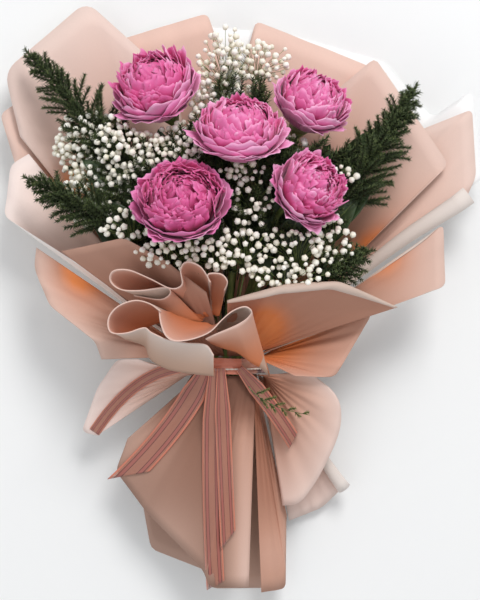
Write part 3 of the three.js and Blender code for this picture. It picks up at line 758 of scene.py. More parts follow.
# %% The three parts of the ruffle
RUFFLE = {  # rim, lower edge, steepness along the strip, and a share where the peach side is up
    "fan": ([(-91, 71, 126), (-65, 67, 130), (-54, 73, 138), (-58, 80, 142), (-83, 77, 142),
             (-103, 78, 142), (-113, 86, 144), (-110, 95, 150), (-95, 96, 153), (-75, 88, 152),
             (-54, 78, 146), (-42, 82, 146), (-43, 97, 154), (-37, 104, 160), (-24, 99, 160),
             (-14, 84, 150), (-16, 92, 156), (-4, 92, 158), (2, 85, 156), (-1, 77, 146)],
            [(-32, 45, 116), (-28, 45, 116), (-25, 45, 116), (-23, 46, 115), (-22, 47, 114),
             (-22, 48, 112), (-21, 49, 111), (-21, 49, 110), (-20, 50, 110), (-19, 51, 110),
             (-19, 50, 111), (-18, 50, 112), (-17, 50, 112), (-16, 51, 111), (-15, 51, 111),
             (-14, 51, 112), (-13, 51, 112), (-11, 52, 111), (-9, 51, 112), (-6, 51, 114)],
            [1.0], 0.45),
    "sweep": ([(-64, 55, 140), (-75, 63, 146), (-89, 66, 148), (-104, 61, 148),
               (-113, 52, 148), (-115, 42, 148), (-111, 35, 147), (-97, 35, 146),
               (-80, 40, 144), (-72, 35, 142), (-56, 28, 140), (-38, 25, 138), (-19, 23, 136),
               (-11, 13, 134)],
              [(-32, 45, 116), (-40, 45, 114), (-52, 45, 112), (-65, 44, 111), (-76, 40, 110),
               (-85, 35, 110), (-98, 28, 112), (-92, 25, 112), (-80, 20, 113), (-74, 7, 114),
               (-58, -2, 115), (-39, -6, 116), (-21, -8, 116), (-11, -9, 117)],
              [1, 1, 1, 1, 0.3, 0.1, 0], 0.15),
    "loop": ([(-65, 58, 138), (-63, 44, 142), (-58, 32, 146), (-49, 27, 148), (-32, 29, 150),
              (-15, 36, 152), (-3, 48, 154), (8, 57, 156), (20, 61, 156), (27, 56, 154),
              (23, 49, 150), (14, 43, 148), (1, 37, 146), (-11, 32, 144), (-19, 28, 142)],
             [(-54, 55, 124), (-48, 52, 122), (-39, 49, 120), (-31, 46, 118), (-24, 45, 117),
              (-17, 44, 116), (-11, 40, 112), (-8, 37, 110), (-4, 35, 110), (43, -8, 114),
              (38, -3, 114), (26, 4, 115), (12, 14, 117), (-1, 18, 118), (-14, 23, 120)],
             [0.3, 0.4, 1, 1, 0.1, 0], 0.3),
}
# Each strip's warmth rises and its painted shade deepens towards its lower edge: painted glow and
# painted shade.
for name, (rim, low, steep, up_at) in RUFFLE.items():
    paper_piece(f"ruffle_{name}", strip_grid(rim, low, steep), (PEACH, PALE), (0.45, 0.95),
                (0.85, 0.5), thick=RUFFLE_THICK, up_at=up_at, hem=True)
print("ruffle parts:", len(RUFFLE))

# %% [markdown]
# ## The peonies
# A double peony is a bowl of broad, smooth guard petals round a dome of crowded, frilled ones.
# One petal blank serves them all. Each copy is bent along a curve from the base of the head to
# the dome, wrapped round the head, and frilled along its free rim. Rows nearer the middle stand
# up straighter, and every copy has its own frill, so no two petals are alike.

# %% The five heads: places and shapes
HEADS = {  # sizes in millimetres; droops are the directions of the petals that hang low
    "top_left": dict(at=(-69, 278, 112), faces=(-0.35, 0.66, 0.66), radius=47, depth=68,
                     loose=1.5, frilly=1.0, deep=0.08,
                     droops=[(0.5, -0.85), (0.75, -0.6), (0.95, 0.1), (-0.7, -0.7), (-0.1, -1)]),
    "top_right": dict(at=(87, 265, 96), faces=(0.4, 0.75, 0.55), radius=43, depth=60,
                      loose=1.1, frilly=1.0, deep=0.02,
                      droops=[(-0.3, -1), (0.25, -0.95), (-0.9, 0)]),
    "centre": dict(at=(15, 233, 144), faces=(0.02, 0.82, 0.57), radius=49, depth=60,
                   loose=1.0, frilly=1.0, deep=0.0,
                   droops=[(0.1, -1), (0.85, -0.5), (-0.95, -0.3), (-0.45, -0.9), (0.5, -0.9)]),
    "lower_left": dict(at=(-42, 162, 164), faces=(-0.1, 0.58, 0.8), radius=49, depth=60,
                       loose=1.2, frilly=1.5, deep=0.27,
                       droops=[(-1, -0.1), (-0.5, -0.9), (0.8, -0.8)]),
    "lower_right": dict(at=(83, 175, 142), faces=(0.5, 0.35, 0.79), radius=40, depth=64,
                        loose=1.3, frilly=1.0, deep=0.05,
                        droops=[(-0.9, -0.3), (-0.6, -0.9), (-1, 0.1), (0, -1)]),
}


def head_matrix(head):
    """Where the head is and which way it faces."""
    turn = Vector((0, 0, 1)).rotation_difference(Vector(head["faces"]).normalized())
    return np.array(Matrix.Translation(Vector(by_neck(*head["at"]))) @ turn.to_matrix().to_4x4())


HEAD_FRAMES = [(head, np.linalg.inv(head_matrix(head))) for head in HEADS.values()]


def in_a_bloom(p, spare=0):
    """Whether a place is inside one of the flower heads, which are flattened balls."""
    for head, to_head in HEAD_FRAMES:
        x, y, z = (to_head @ np.append(p, 1))[:3] / MM
        wide, tall = head["radius"] + spare, head["depth"] / 2 + spare
        if math.hypot(x / wide, y / wide, z / tall) < 1:
            return True
    return False


print("heads:", *HEADS)

# %% [markdown]
# A peony petal rises from the base of the head, turns over at its shoulder and follows the dome.
# Its rim is notched, and it ripples more the nearer the rim. Sines with random phases give each
# petal its own notches and ripples.

# %% One petal, and a piece made of petals
SHOULDER = 0.42       # share of a petal's length below the place where it turns over the dome
PETAL_THICK = 0.45
WHOLE_TURN = 6.28


def bend_petal(flat, head, tip, wrap, azimuth, width, frill, lift, lean, roll, dice):
    """One petal: up from the base of the head, then over its dome to the tip's polar angle."""
    x, v = flat[:, 0], flat[:, 1]
    big, half_tall = head["radius"], head["depth"] / 2
    a, b, c = (dice.uniform(0, WHOLE_TURN) for _ in range(3))
    notch = 0.045 * np.sin(3 * x + a) + 0.035 * np.sin(6.5 * x + b) + 0.015 * np.sin(13 * x + c)
    s = v * (1 - 0.26 * np.abs(x) ** 3 + notch * v ** 2)
    rise, over = np.clip(s / SHOULDER, 0, 1), np.clip((s - SHOULDER) / (1 - SHOULDER), 0, 1.15)
    low = tip + wrap
    low_r, low_z = 0.82 * big * math.sin(low), 0.82 * half_tall * math.cos(low)
    base_r, base_z = 0.12 * big, -0.92 * half_tall
    r = base_r * (1 - rise) ** 2 + 1.7 * low_r * rise * (1 - rise) + low_r * rise ** 2
    z = (base_z * (1 - rise) ** 2 + 2 * (base_z + 0.1 * half_tall) * rise * (1 - rise)
         + low_z * rise ** 2)
    polar = low - (low - tip) * over
    swell = 0.82 + 0.18 * over + lift * over ** 3
    wave = frill * s ** 3 * (0.5 * np.sin(4.4 * x + a) + 0.45 * np.sin(8 * x + b + 2 * s)
                             + 0.25 * np.sin(14 * x + c)) * (0.45 + 0.55 * np.abs(x))
    onto = over > 0
    r = np.where(onto, big * np.sin(polar) * swell, r) + wave * np.sin(polar)
    z = np.where(onto, half_tall * np.cos(polar) * swell, z) + wave * np.cos(polar)
    half = (width * (0.30 + 0.70 * np.sin(np.pi / 2 * np.minimum(1, s / 0.6)))
            * (1 - 0.20 * v ** 5))
    across = x * half + lean * width * s ** 2
    r = r - (x * half) ** 2 / (2 * np.maximum(np.abs(r), 0.85 * width))
    out = np.array([math.cos(azimuth), math.sin(azimuth)])
    place = np.stack([r * out[0] - across * out[1], r * out[1] + across * out[0], z], axis=1)
    pole = Vector((math.sin(tip) * out[0], math.sin(tip) * out[1], math.cos(tip)))
    return place @ np.array(Matrix.Rotation(roll, 3, pole)).T * MM


def petal_piece(name, head, petals, material, dice, nodes):
    """All the petals, each with its own polar angle, wrap, azimuth, width, frill and so on."""
    blank = grid_blank(12, 10)
    flat = spots(blank)
    places, reach = [], []
    for polar, wrap, azimuth, width, frill, lift, lean, roll in petals:
        places.append(bend_petal(flat, head, math.radians(polar), math.radians(wrap), azimuth,
                                 width * head["radius"], frill, lift, lean, roll, dice))
        reach.append((flat[:, 1] ** 1.6 * dice.uniform(0.6, 1.1) - head["deep"]).clip(0, 1))
    matrix = head_matrix(head)
    places = [p @ matrix[:3, :3].T + matrix[:3, 3] for p in places]
    piece = lay_copies(name, blank, places, {"reach": np.concatenate(reach)})
    finish_piece(piece, nodes, (material,))
    apply_modifier(piece, "SOLIDIFY", thickness=PETAL_THICK * MM, offset=0)


# %% [markdown]
# The crown's petals are set in a spiral, as a plant sets them, by turning each one on by the
# golden angle. Each is also rolled a little about its own direction, which breaks up any rings.
# The guard petals stand in three open rows, broad and nearly smooth, and a few more hang low at
# the front. A core of plainer petals closes the middle of the crown.

# %% Build the five heads
SPIRAL = math.pi * (3 - math.sqrt(5))
CROWN_PETALS, CROWN_EDGE = 92, 74     # in a plain crown, and the polar angle where it ends
CORE_PETALS, CORE_EDGE = 40, 66
PAST_POLE = 11                        # degrees by which inner tips lean over the middle
GUARD_ROWS = [(68, 36, 8, 0.46), (78, 38, 7, 0.56), (86, 34, 5, 0.54)]  # tip, wrap, count, width
for seed, (name, head) in enumerate(HEADS.items(), start=11):
    dice = random.Random(seed)
    loose, frilly = head["loose"], head["frilly"]
    count = round(CROWN_PETALS * frilly)
    crown = []
    for k in range(count):
        out = math.sqrt((k + 0.5) / count)
        crown.append((CROWN_EDGE * out - PAST_POLE + dice.uniform(-5, 5), 24 + 12 * out,
                      k * SPIRAL + dice.uniform(-0.3, 0.3),
                      (0.19 + 0.17 * out) * dice.uniform(0.75, 1.25) / frilly ** 0.6,
                      dice.uniform(3.4, 6.4) - 2.4 * out,
                      dice.uniform(-0.05, 0.16) * loose, dice.uniform(-0.45, 0.45),
                      dice.uniform(-0.8, 0.8) * frilly))
    core = [(CORE_EDGE * math.sqrt((k + 0.5) / CORE_PETALS) - PAST_POLE - 1, 28, k * SPIRAL, 0.34,
             dice.uniform(3, 5), dice.uniform(0, 0.08), 0, dice.uniform(-0.2, 0.2))
            for k in range(CORE_PETALS)]
    guard = []
    for polar, wrap, number, width in GUARD_ROWS:
        turn = dice.uniform(0, WHOLE_TURN)
        for k in range(number):
            guard.append((polar + dice.uniform(-6, 7) * loose, wrap,
                          turn + (k + dice.uniform(-0.25, 0.25)) * 2 * math.pi / number,
                          width * dice.uniform(0.85, 1.15), dice.uniform(1.6, 3.4),
                          (0.02 + dice.uniform(-0.03, 0.10)) * loose,
                          dice.uniform(-0.15, 0.15), dice.uniform(-0.15, 0.15)))
    turned = head_matrix(head)[:3, :3]
    for x, y in head["droops"]:
        local = turned.T @ np.array([x, y, 0])
        guard.append((dice.uniform(86, 96), 30, math.atan2(local[1], local[0]),
                      dice.uniform(0.4, 0.52), dice.uniform(3, 5), dice.uniform(0.06, 0.2),
                      dice.uniform(-0.2, 0.2), dice.uniform(-0.2, 0.2)))
    for layer, petals, wide, tall, material, nodes in (
            ("inner", crown, 0.85, 0.92, PETAL, [f"peony_{name}_crown"]),
            ("core", core, 0.76, 0.84, PETAL, ()),
            ("outer", guard, 0.91, 0.93, GUARD, [f"peony_{name}_guard_petals"])):
        shape = dict(head, radius=head["radius"] * wide, depth=head["depth"] * tall)
        petal_piece(f"peony_{name}_{layer}_petals", shape, petals, material, dice, nodes)
    print(name, "petals:", len(core) + len(crown) + len(guard))

# %% [markdown]
# ## Twigs, needles and stalks
# A twig is a straight stretch of a thin cylinder, and a needle is a thin three-sided cone. Both
# are laid between pairs of points, hundreds at a time, so each has only a few faces.


# %% Sticks between pairs of points
def unit_stick(sides, pointed=False):
    """A stick of unit length and radius along +Z, as a cylinder or a pointed cone."""
    select_only()
    bpy.ops.mesh.primitive_cone_add(vertices=sides, radius1=1, radius2=0 if pointed else 0.8,
                                    depth=1, location=(0, 0, 0.5))
    stick = bpy.context.object
    bpy.ops.object.transform_apply(location=True, rotation=True, scale=True)
    return stick


def between(flat, starts, ends, thick, flatness=1.0):
    """Lays the stick's vertices from each start to each end."""
    axis = ends - starts
    length = np.linalg.norm(axis, axis=1, keepdims=True)
    axis = axis / length
    side = np.cross(axis, (0.31, 0.43, 0.85))
    side /= np.linalg.norm(side, axis=1, keepdims=True)
    other = np.cross(axis, side)
    thick = np.broadcast_to(np.asarray(thick, float).reshape(-1, 1), (len(starts), 1)) * MM
    return (starts[:, None] + flat[None, :, 2:3] * (axis * length)[:, None]
            + flat[None, :, 0:1] * (side * thick)[:, None]
            + flat[None, :, 1:2] * (other * thick * flatness)[:, None])


def stick_piece(name, material, starts, ends, thick, reach, sides=3, pointed=False,
                nodes=(), flatness=1.0):
    """One piece of many sticks; reach runs a little along every stick."""
    starts, ends = np.array(starts), np.array(ends)
    blank = unit_stick(sides, pointed)
    flat = spots(blank)
    values = np.repeat(np.asarray(reach, float)[:, None], len(flat), axis=1)
    values = (values + 0.35 * (flat[None, :, 2] - 0.5)).clip(0, 1)
    piece = lay_copies(name, blank, between(flat, starts, ends, thick, flatness),
                       {"reach": values.ravel()})
    return finish_piece(piece, nodes, (material,), smooth=False)


# %% [markdown]
# ## The needle sprigs
# The dark greenery is a fern-like asparagus: an arching stem with short side shoots, each ringed
# with soft needles. A shoot is grown as a row of whorls, three needles each, and the shoots get
# shorter to the tip, which gives the plume its outline.

# %% Shoots and plumes
NEEDLE_TURN = 2.4               # radians from one needle to the next round the twig
NEEDLE_THICK = 0.8
PLUME_RISE, PLUME_SPREAD = 6, 0.9
STEM_PARTS = 18


def grow_shoot(start, heading, length, dice, twigs, needles, needle=7.5, step=1.45):
    """Adds one side shoot: a slightly drooping twig with whorls of needles."""
    heading = unit(heading)
    bend = unit(np.cross(heading, (0, 0, 1)) * dice.uniform(-1, 1) + (0, 0, -0.4))
    along, last = [], start
    count = max(3, int(length / step))
    for k in range(1, count + 1):
        s = k / count
        p = start + (heading * s + bend * 0.14 * s * s) * length * MM
        along.append((last, p, s))
        last = p
    side = unit(np.cross(heading, (0.2, 0.1, 1)))
    other = np.cross(heading, side)
    turn = dice.uniform(0, WHOLE_TURN)
    for a, b, s in along:
        twigs.append((a, b, 0.45 - 0.2 * s, 0.15))
        for _ in range(3):
            turn += NEEDLE_TURN
            out = side * math.cos(turn) + other * math.sin(turn)
            lean = unit(heading * dice.uniform(0.6, 1.1) + out)
            far = needle * (1.05 - 0.45 * s * s) * dice.uniform(0.8, 1.15) * MM
            needles.append((b, b + lean * far, NEEDLE_THICK,
                            dice.uniform(0.25, 0.62) + 0.25 * s))


def arc_point(points, t):
    """A smooth curve through three points."""
    a, b, c = points
    return (a * (2 * t - 1) * (t - 1) + b * 4 * t * (1 - t) + c * t * (2 * t - 1))


def grow_plume(root, tip, longest, shoots, dice):
    """A main stem with shoots on both sides and above, shorter towards the tip."""
    twigs, needles = [], []
    middle = (root + tip) / 2 + np.array([0, 0, PLUME_RISE]) * MM
    ray = unit(tip - root)
    side = unit(np.cross(ray, (0, 0, 1)))
    last = root
    for k in range(1, STEM_PARTS + 1):
        p = arc_point((root, middle, tip), k / STEM_PARTS)
        twigs.append((last, p, 1.3 - k * 0.05, 0.1))
        last = p
    for k in range(shoots):
        s = (k + 0.5) / shoots
        start = arc_point((root, middle, tip), s)
        spread = (1, -1, 0.35, -0.35)[k % 4] + dice.uniform(-0.5, 0.5)
        lift = 0.25 + 0.55 * (k % 4 > 1) + dice.uniform(-0.3, 0.3)
        heading = ray * 0.85 + side * spread * PLUME_SPREAD + np.array([0, 0, lift])
        length = (longest * (1 - s) ** 0.75 + 9) * dice.uniform(0.7, 1.12)
        grow_shoot(start, heading, length, dice, twigs, needles)
    grow_shoot(last, ray, 14, dice, twigs, needles)
    return twigs, needles


def greenery(name, twigs, needles, nodes=()):
    """The twigs and the needles, as two pieces."""
    a, b, thick, reach = zip(*twigs)
    stick_piece(f"{name}_twigs", NEEDLE, a, b, thick, reach, sides=4)
    a, b, thick, reach = zip(*needles)
    stick_piece(f"{name}_needles", NEEDLE, a, b, thick, reach, sides=3,
                pointed=True, nodes=nodes, flatness=0.6)


print("a plume's main stem has", STEM_PARTS, "parts")

# %% [markdown]
# Four plumes stand out beyond the flowers. Their bare lower stems run down between the leaves to
# the tie, and are mostly hidden.

# %% The four sprigs
PLUMES = {  # foot of the plume, its tip, longest shoot, number of shoots
    "upper_left": (by_neck(-102, 206, 92), by_neck(-197, 314, 66), 42, 84),
    "right": (by_neck(112, 156, 98), by_neck(189, 275, 82), 42, 124),
    "lower_left": (by_neck(-112, 142, 112), by_neck(-192, 186, 96), 30, 60),
    "lower_right": (by_neck(86, 84, 112), by_neck(137, 112, 108), 28, 52),
}
LOWER_STEMS = {  # where each stem comes out of the neck
    "upper_left": by_neck(-0.5, 62, 46), "right": by_neck(26.3, 62, 49),
    "lower_left": by_neck(-3, 62, 57.5), "lower_right": by_neck(28.3, 62, 54.8),
}
for seed, (name, (root, tip, longest, shoots)) in enumerate(PLUMES.items(), start=81):
    dice = random.Random(seed)
    twigs, needles = grow_plume(root, tip, longest, shoots, dice)
    twigs.append((NECK + (LOWER_STEMS[name] - NECK) * 0.2, LOWER_STEMS[name], 1.5, 0.1))
    twigs.append((LOWER_STEMS[name], root, 1.5, 0.1))
    greenery(f"sprig_{name}", twigs, needles, [f"sprig_{name}"])
print("needles on the last sprig:", len(needles))

# %% [markdown]
# Shorter bits of the same greenery fill the depths between the flower heads, so the florets stand
# against something dark. It is thickest among the three heads on the right.

# %% Filler
FILLER_SHOOTS, BLOOM_GAP = 520, 4
dice = random.Random(90)
twigs, needles = [], []
placed = 0
while placed < FILLER_SHOOTS:
    x, y = dice.uniform(-125, 122), dice.uniform(96, 276)
    if dice.random() < 0.2:
        x, y = dice.uniform(18, 76), dice.uniform(190, 262)
    inside = ((x + 2) / 122) ** 2 + ((y - 184) / 90) ** 2
    start = by_neck(x, y, dice.uniform(72, 106) + 16 * max(0, 1 - inside))
    heading = np.array([x / 110 + dice.uniform(-0.5, 0.5),
                        (y - 60) / 160 + dice.uniform(-0.5, 0.5), dice.uniform(0.4, 1.1)])
    length = dice.uniform(20, 34)
    end = start + unit(heading) * length * MM
    if inside > 1 or in_a_bloom(start, BLOOM_GAP) or in_a_bloom(end, BLOOM_GAP):
        continue
    grow_shoot(start, heading, length, dice, twigs, needles, needle=9, step=2.2)
    twigs.append((start - np.array([x * 0.08, y * 0.10, 22]) * MM, start, 0.6, 0.1))
    placed += 1
greenery("sprig_filler", twigs, needles)
print("needles in the filler:", len(needles))

# %% [markdown]
# The wisp is the thin end of a sprig: a few short shoots on alternate sides of a bare stem, with
# small, paler needles.

# %% The stray wisp
WISP_PARTS, WISP_SHOOTS = 12, 9
twigs, needles = [], []
wisp = [by_neck(24, -20, 108), by_neck(46, -38, 98), by_neck(86, -50, 86)]
for k in range(WISP_PARTS):
    twigs.append((arc_point(wisp, k / WISP_PARTS), arc_point(wisp, (k + 1) / WISP_PARTS),
                  0.7 - k * 0.03, 0.9))
for k in range(WISP_SHOOTS):
    heading = unit(wisp[2] - wisp[0]) + np.array([0.2, (-1) ** k * 0.7, 0.2])
    grow_shoot(arc_point(wisp, 0.2 + k * 0.09), heading, 14 - k, dice, twigs, needles, needle=4.5)
greenery("sprig_stray", twigs, [(a, b, t, r + 0.4) for a, b, t, r in needles], ["sprig_stray"])
print("needles on the wisp:", len(needles))

# %% [markdown]
# ## The gypsophila
# Gypsophila is a haze of tiny double flowers on hair-thin forked stalks. Each floret here is a
# ball whose every other vertex is drawn in, so that it looks like a small ruffled pompom. They
# are scattered in soft clouds, and no two are closer together than the width of a common one.


# %% One floret
def floret_blank():
    """A small ball with every other place drawn in."""
    select_only()
    bpy.ops.mesh.primitive_uv_sphere_add(segments=10, ring_count=5, radius=1)
    blank = bpy.context.object
    bpy.ops.object.mode_set(mode="EDIT")
    bpy.ops.mesh.select_mode(type="VERT")
    bpy.ops.mesh.select_all(action="DESELECT")
    bpy.ops.object.mode_set(mode="OBJECT")
    for vertex in blank.data.vertices:
        column = round(math.atan2(vertex.co.y, vertex.co.x) / math.radians(36))
        ring = round(vertex.co.z * 2)
        vertex.select = (column + ring) % 2 == 0 and math.hypot(vertex.co.x, vertex.co.y) > 0.1
    bpy.ops.object.mode_set(mode="EDIT")
    bpy.ops.transform.resize(value=(0.82, 0.82, 0.86))
    bpy.ops.object.mode_set(mode="OBJECT")
    return blank


print("faces on one floret:", len(floret_blank().data.polygons))
bpy.data.objects.remove(bpy.context.object)

# %% [markdown]
# A spray of florets is a few soft clouds side by side. Each floret sits on a hair-thin stalk, the
# stalks fork inside their cloud, and one stouter stalk runs from every cloud to the tie.

# %% Clouds of florets
FLORET_GAP = 6.4                # between the middles of two florets
FLORET_RADII = (2.3, 4.1)       # of the smallest and the largest
CLOUDS = {  # table area for each floret, then middle and half sizes of the clouds
    "left": (30, [((-124, 176, 94), (40, 36, 20)), ((-138, 222, 86), (34, 36, 18)),
                  ((-100, 220, 112), (28, 34, 20)), ((-70, 216, 118), (22, 16, 14)),
                  ((-38, 214, 124), (13, 14, 12)), ((-48, 234, 108), (16, 12, 8))]),
    "top": (38, [((0, 300, 68), (28, 44, 20)), ((32, 312, 60), (34, 20, 14)),
                 ((-22, 262, 92), (14, 26, 14))]),
    "middle": (60, [((26, 172, 120), (22, 40, 26)), ((20, 118, 134), (28, 26, 18)),
                    ((14, 196, 134), (20, 10, 8)), ((66, 224, 100), (18, 10, 10))]),
    "lower_left": (52, [((-92, 142, 128), (34, 16, 16)), ((-58, 112, 136), (30, 15, 12)),
                        ((-10, 112, 138), (30, 13, 12)), ((-40, 122, 142), (30, 8, 8))]),
    "lower_right": (62, [((72, 116, 130), (38, 26, 18)), ((108, 128, 118), (24, 24, 16)),
                         ((60, 92, 138), (42, 14, 12)), ((118, 190, 116), (14, 12, 10))]),
}


def floret_places(clouds, share, dice):
    """Random places on and in the clouds, each with the way that it faces."""
    found = []
    for middle, half in clouds:
        wanted, tries, here = int(math.pi * half[0] * half[1] / share), 0, 0
        while here < wanted and tries < wanted * 40:
            tries += 1
            way = unit([dice.gauss(0, 1), dice.gauss(0, 1), abs(dice.gauss(0, 1)) * 0.9 - 0.15])
            depth = dice.uniform(0.55, 1.08)
            p = by_neck(*(np.array(middle) + way * np.array(half) * depth))
            if in_a_bloom(p, 2) or any(np.linalg.norm(p - q) < FLORET_GAP * MM
                                       for q, _, _ in found):
                continue
            found.append((p, unit(way + np.array([0, 0, 0.6])), by_neck(*middle)))
            here += 1
    return found


FORK_DROP, FOOT_DROP = np.array([0, 6, 12]) * MM, np.array([0, 20, 30]) * MM
STALK_THICK, STEM_THICK = 0.35, 1.1
for seed, (name, (share, clouds)) in enumerate(CLOUDS.items(), start=101):
    dice = random.Random(seed)
    found = floret_places(clouds, share, dice)
    blank = floret_blank()
    flat = spots(blank)
    places, reach, starts, ends = [], [], [], []
    for p, way, middle in found:
        side = unit(np.cross(way, (0.3, 0.2, 1)))
        turned = np.stack([side, np.cross(way, side), way])
        size = dice.uniform(*FLORET_RADII) * MM
        places.append(p + flat @ turned * size)
        # Painted shade: a random share darkens each floret, so that some look shaded.
        shade = dice.uniform(0.3, 1.0) ** 0.6
        reach.append((0.5 + 0.5 * flat[:, 2]) * 0.55 * shade + 0.45 * shade)
        fork = middle + (p - middle) * 0.45 - FORK_DROP
        starts += [fork, middle - FOOT_DROP]
        ends += [p - way * size * 0.8, fork]
    piece = lay_copies(f"gypsophila_{name}_florets", blank, places,
                       {"reach": np.concatenate(reach).clip(0, 1)})
    finish_piece(piece, [f"gypsophila_{name}"], (FLORET,))
    for middle, _ in clouds:
        foot = by_neck(*middle) - FOOT_DROP
        starts.append(NECK + (foot - NECK) * 0.22)
        ends.append(foot)
    stick_piece(f"gypsophila_{name}_stalks", STALK, starts, ends,
                [STALK_THICK] * (len(starts) - len(clouds)) + [STEM_THICK] * len(clouds),
                [0.5] * len(starts))
    print(name, "florets:", len(found))

# %% [markdown]
# ## Leaves and stems
# Peony leaves are pointed ovals with a sunken midrib and side veins. A leaf is a flat grid, drawn
# in to two points, arched, and creased along its veins.


# %% Leaves
LEAF_THICK, MIDRIB = 0.5, 0.08


def leaf_piece(name, root, tip, half, arch, nodes=()):
    """A leaf from root to tip, with half its width and the height of its arch."""
    blank = grid_blank(16, 26)
    flat = spots(blank)
    x, v = flat[:, 0], flat[:, 1]
    ray = tip - root
    length = np.linalg.norm(ray)
    ray = ray / length
    side = unit(np.cross(ray, (0, 0, 1)))
    up = np.cross(side, ray)
    wide = half * MM * np.sin(np.pi * v ** 0.8) ** 0.75 * (1 - 0.25 * v)
    vein = 0.5 * np.abs(np.sin(14 * (v - 0.35 * np.abs(x)))) * (np.abs(x) > MIDRIB)
    height = (arch * np.sin(np.pi * v) + 2.4 * np.abs(x) ** 1.3 + vein * 0.9
              + 0.8 * np.sin(9 * v + 2 * x))
    place = (root + np.outer(v * length, ray) + np.outer(x * wide, side)
             + np.outer(height * MM, up))
    reach = (0.15 + 0.5 * vein + 0.4 * np.abs(x)).clip(0, 1)
    reach[np.abs(x) < MIDRIB] = 0
    piece = lay_copies(name, blank, [place], {"reach": reach})
    finish_piece(piece, nodes, (LEAF,))
    apply_modifier(piece, "SOLIDIFY", thickness=LEAF_THICK * MM, offset=0)


for name, root, tip, half, arch in (
        ("left", (-80, 168, 92), (-144, 208, 104), 16, 6),
        ("middle", (26, 132, 84), (48, 84, 104), 12, 6),
        ("right", (118, 204, 66), (172, 248, 80), 14, 4)):
    leaf_piece(f"peony_leaf_{name}_blade", by_neck(*root), by_neck(*tip), half, arch,
               [f"peony_leaf_{name}"])
print("leaves among the flowers: 3")

# %% [markdown]
# The peonies' own leaves also lie all round under the heads, dark and close together. They are
# what makes the florets stand out, and they hide the stems.

# %% Leaves under the flowers
LEAVES_UNDER = 70
dice = random.Random(70)
for k in range(LEAVES_UNDER):
    bearing = math.radians(-38 + 76 * ((k * 0.618) % 1) + dice.uniform(-4, 4))
    reach = 84 + 96 * math.sqrt((k * 0.755) % 1)
    root = by_neck(reach * math.sin(bearing), reach * math.cos(bearing), dice.uniform(72, 92))
    heading = np.array([math.sin(bearing * 1.2), math.cos(bearing * 1.2), dice.uniform(0, 0.3)])
    tip = root + unit(heading) * dice.uniform(56, 76) * MM
    leaf_piece(f"peony_leaf_under_{k + 1}", root, tip, dice.uniform(13, 18), dice.uniform(2, 7))
print("leaves under the flowers:", LEAVES_UNDER)

# %% [markdown]
# The stems and the tape keep their CAD shape, which is right as it is: plain rods that widen to
# the calyx, and a close winding.

# %% Stems and tape
for name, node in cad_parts.items():
    if name.endswith("_stem") or name == "stem_tape":
        node.material_slots[0].material = STALK if name.endswith("_stem") else TAPE
print("stems finished:", sum(n.endswith("_stem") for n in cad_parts))

# %% [markdown]
# ## The ribbon
# The bow's tails are sheer organza, woven with copper edges, fine dark lines and two mauve bands.
# A tail is a flat grid laid along a curve, with a slow ripple. It starts at the band, where it is
# pinched, and eases down until it rests on the skirt. The stripes follow the ribbon's own UV map,
# so that they run along it whichever way it turns.

# %% Ribbon tails
TAILS = {  # three points along the tail, width, slant of the cut end
    "far_left": ([(-34, -12, 92), (-84, -16, 76), (-136, -70, 50)], 12, 0.0),
    "left": ([(-24, -18, 97), (-50, -56, 82), (-100, -114, 55)], 25, 0.8),
    "middle_long": ([(-14, -20, 100), (-14, -108, 86), (-10, -226, 73)], 19, 0.3),
    "middle_short": ([(-5, -16, 104), (-1, -88, 93), (3, -178, 81)], 16, 0.7),
    "right": ([(18, -20, 97), (46, -42, 85), (70, -78, 71)], 16, 0.5),
}
TAIL_ACROSS, TAIL_ALONG = 10, 48
BAND_TOP = 44.5                        # height of the band's upper side above the neck's middle
REST_GAP, SECOND_LAYER = 1.6, 3.5      # the short middle tail lies on the long one
MOST_DROP = 14                         # the most that a tail may sink below its own curve
LEAVES_BAND, DOWN_BY = 0.06, 0.3       # shares of a tail over which it eases down to the skirt
PINCHED, RIBBON_THICK, RIPPLE = 0.25, 0.35, 0.35
SKIRT_SHEETS = [bpy.data.objects[f"paper_{name}_sheet"] for name in SKIRT]


def top_of_skirt(x, y):
    """The height of the skirt's topmost sheet under a place, or nothing."""
    hits = [sheet.ray_cast(Vector((x, y, 0.3)), Vector((0, 0, -1))) for sheet in SKIRT_SHEETS]
    return max((place[2] for hit, place, _, _ in hits if hit), default=None)


def tail_places(flat, points, width, slant, gap):
    """Where each place of the flat ribbon goes, resting on the skirt below it."""
    place = np.empty_like(flat)
    heights = np.empty((TAIL_ACROSS + 1, TAIL_ALONG + 1))
    index = grid_index(flat, TAIL_ACROSS, TAIL_ALONG)
    under_last = None
    for k, (x, v, _) in enumerate(flat):
        t = v + slant * width * MM / np.linalg.norm(points[2] - points[0]) * x * v ** 6 * 0.8
        ray = unit(arc_point(points, t + 0.01) - arc_point(points, t - 0.01))
        side = unit(np.cross(ray, (0, 0, 1)))
        pinch = 0.5 + 0.5 * min(1, v / PINCHED)
        place[k] = arc_point(points, t) + side * x * width / 2 * MM * pinch
        under = top_of_skirt(*place[k, :2])
        under = under_last if under is None else under    # past the sheet's edge it stays level
        under_last = under
        wanted = place[k, 2] if under is None else under + gap * MM
        share = min(1, max(0, v - LEAVES_BAND) / DOWN_BY)
        eased = place[k, 2] + (wanted - place[k, 2]) * share
        heights[index[0][k], index[1][k]] = max(eased, place[k, 2] - MOST_DROP * MM * share)
    for _ in range(14):
        smooth = heights.copy()
        smooth[:, 1:-1] = (heights[:, :-2] + heights[:, 1:-1] * 2 + heights[:, 2:]) / 4
        heights = np.maximum(heights, smooth) * 0.6 + smooth * 0.4
    place[:, 2] = heights[index]
    return place


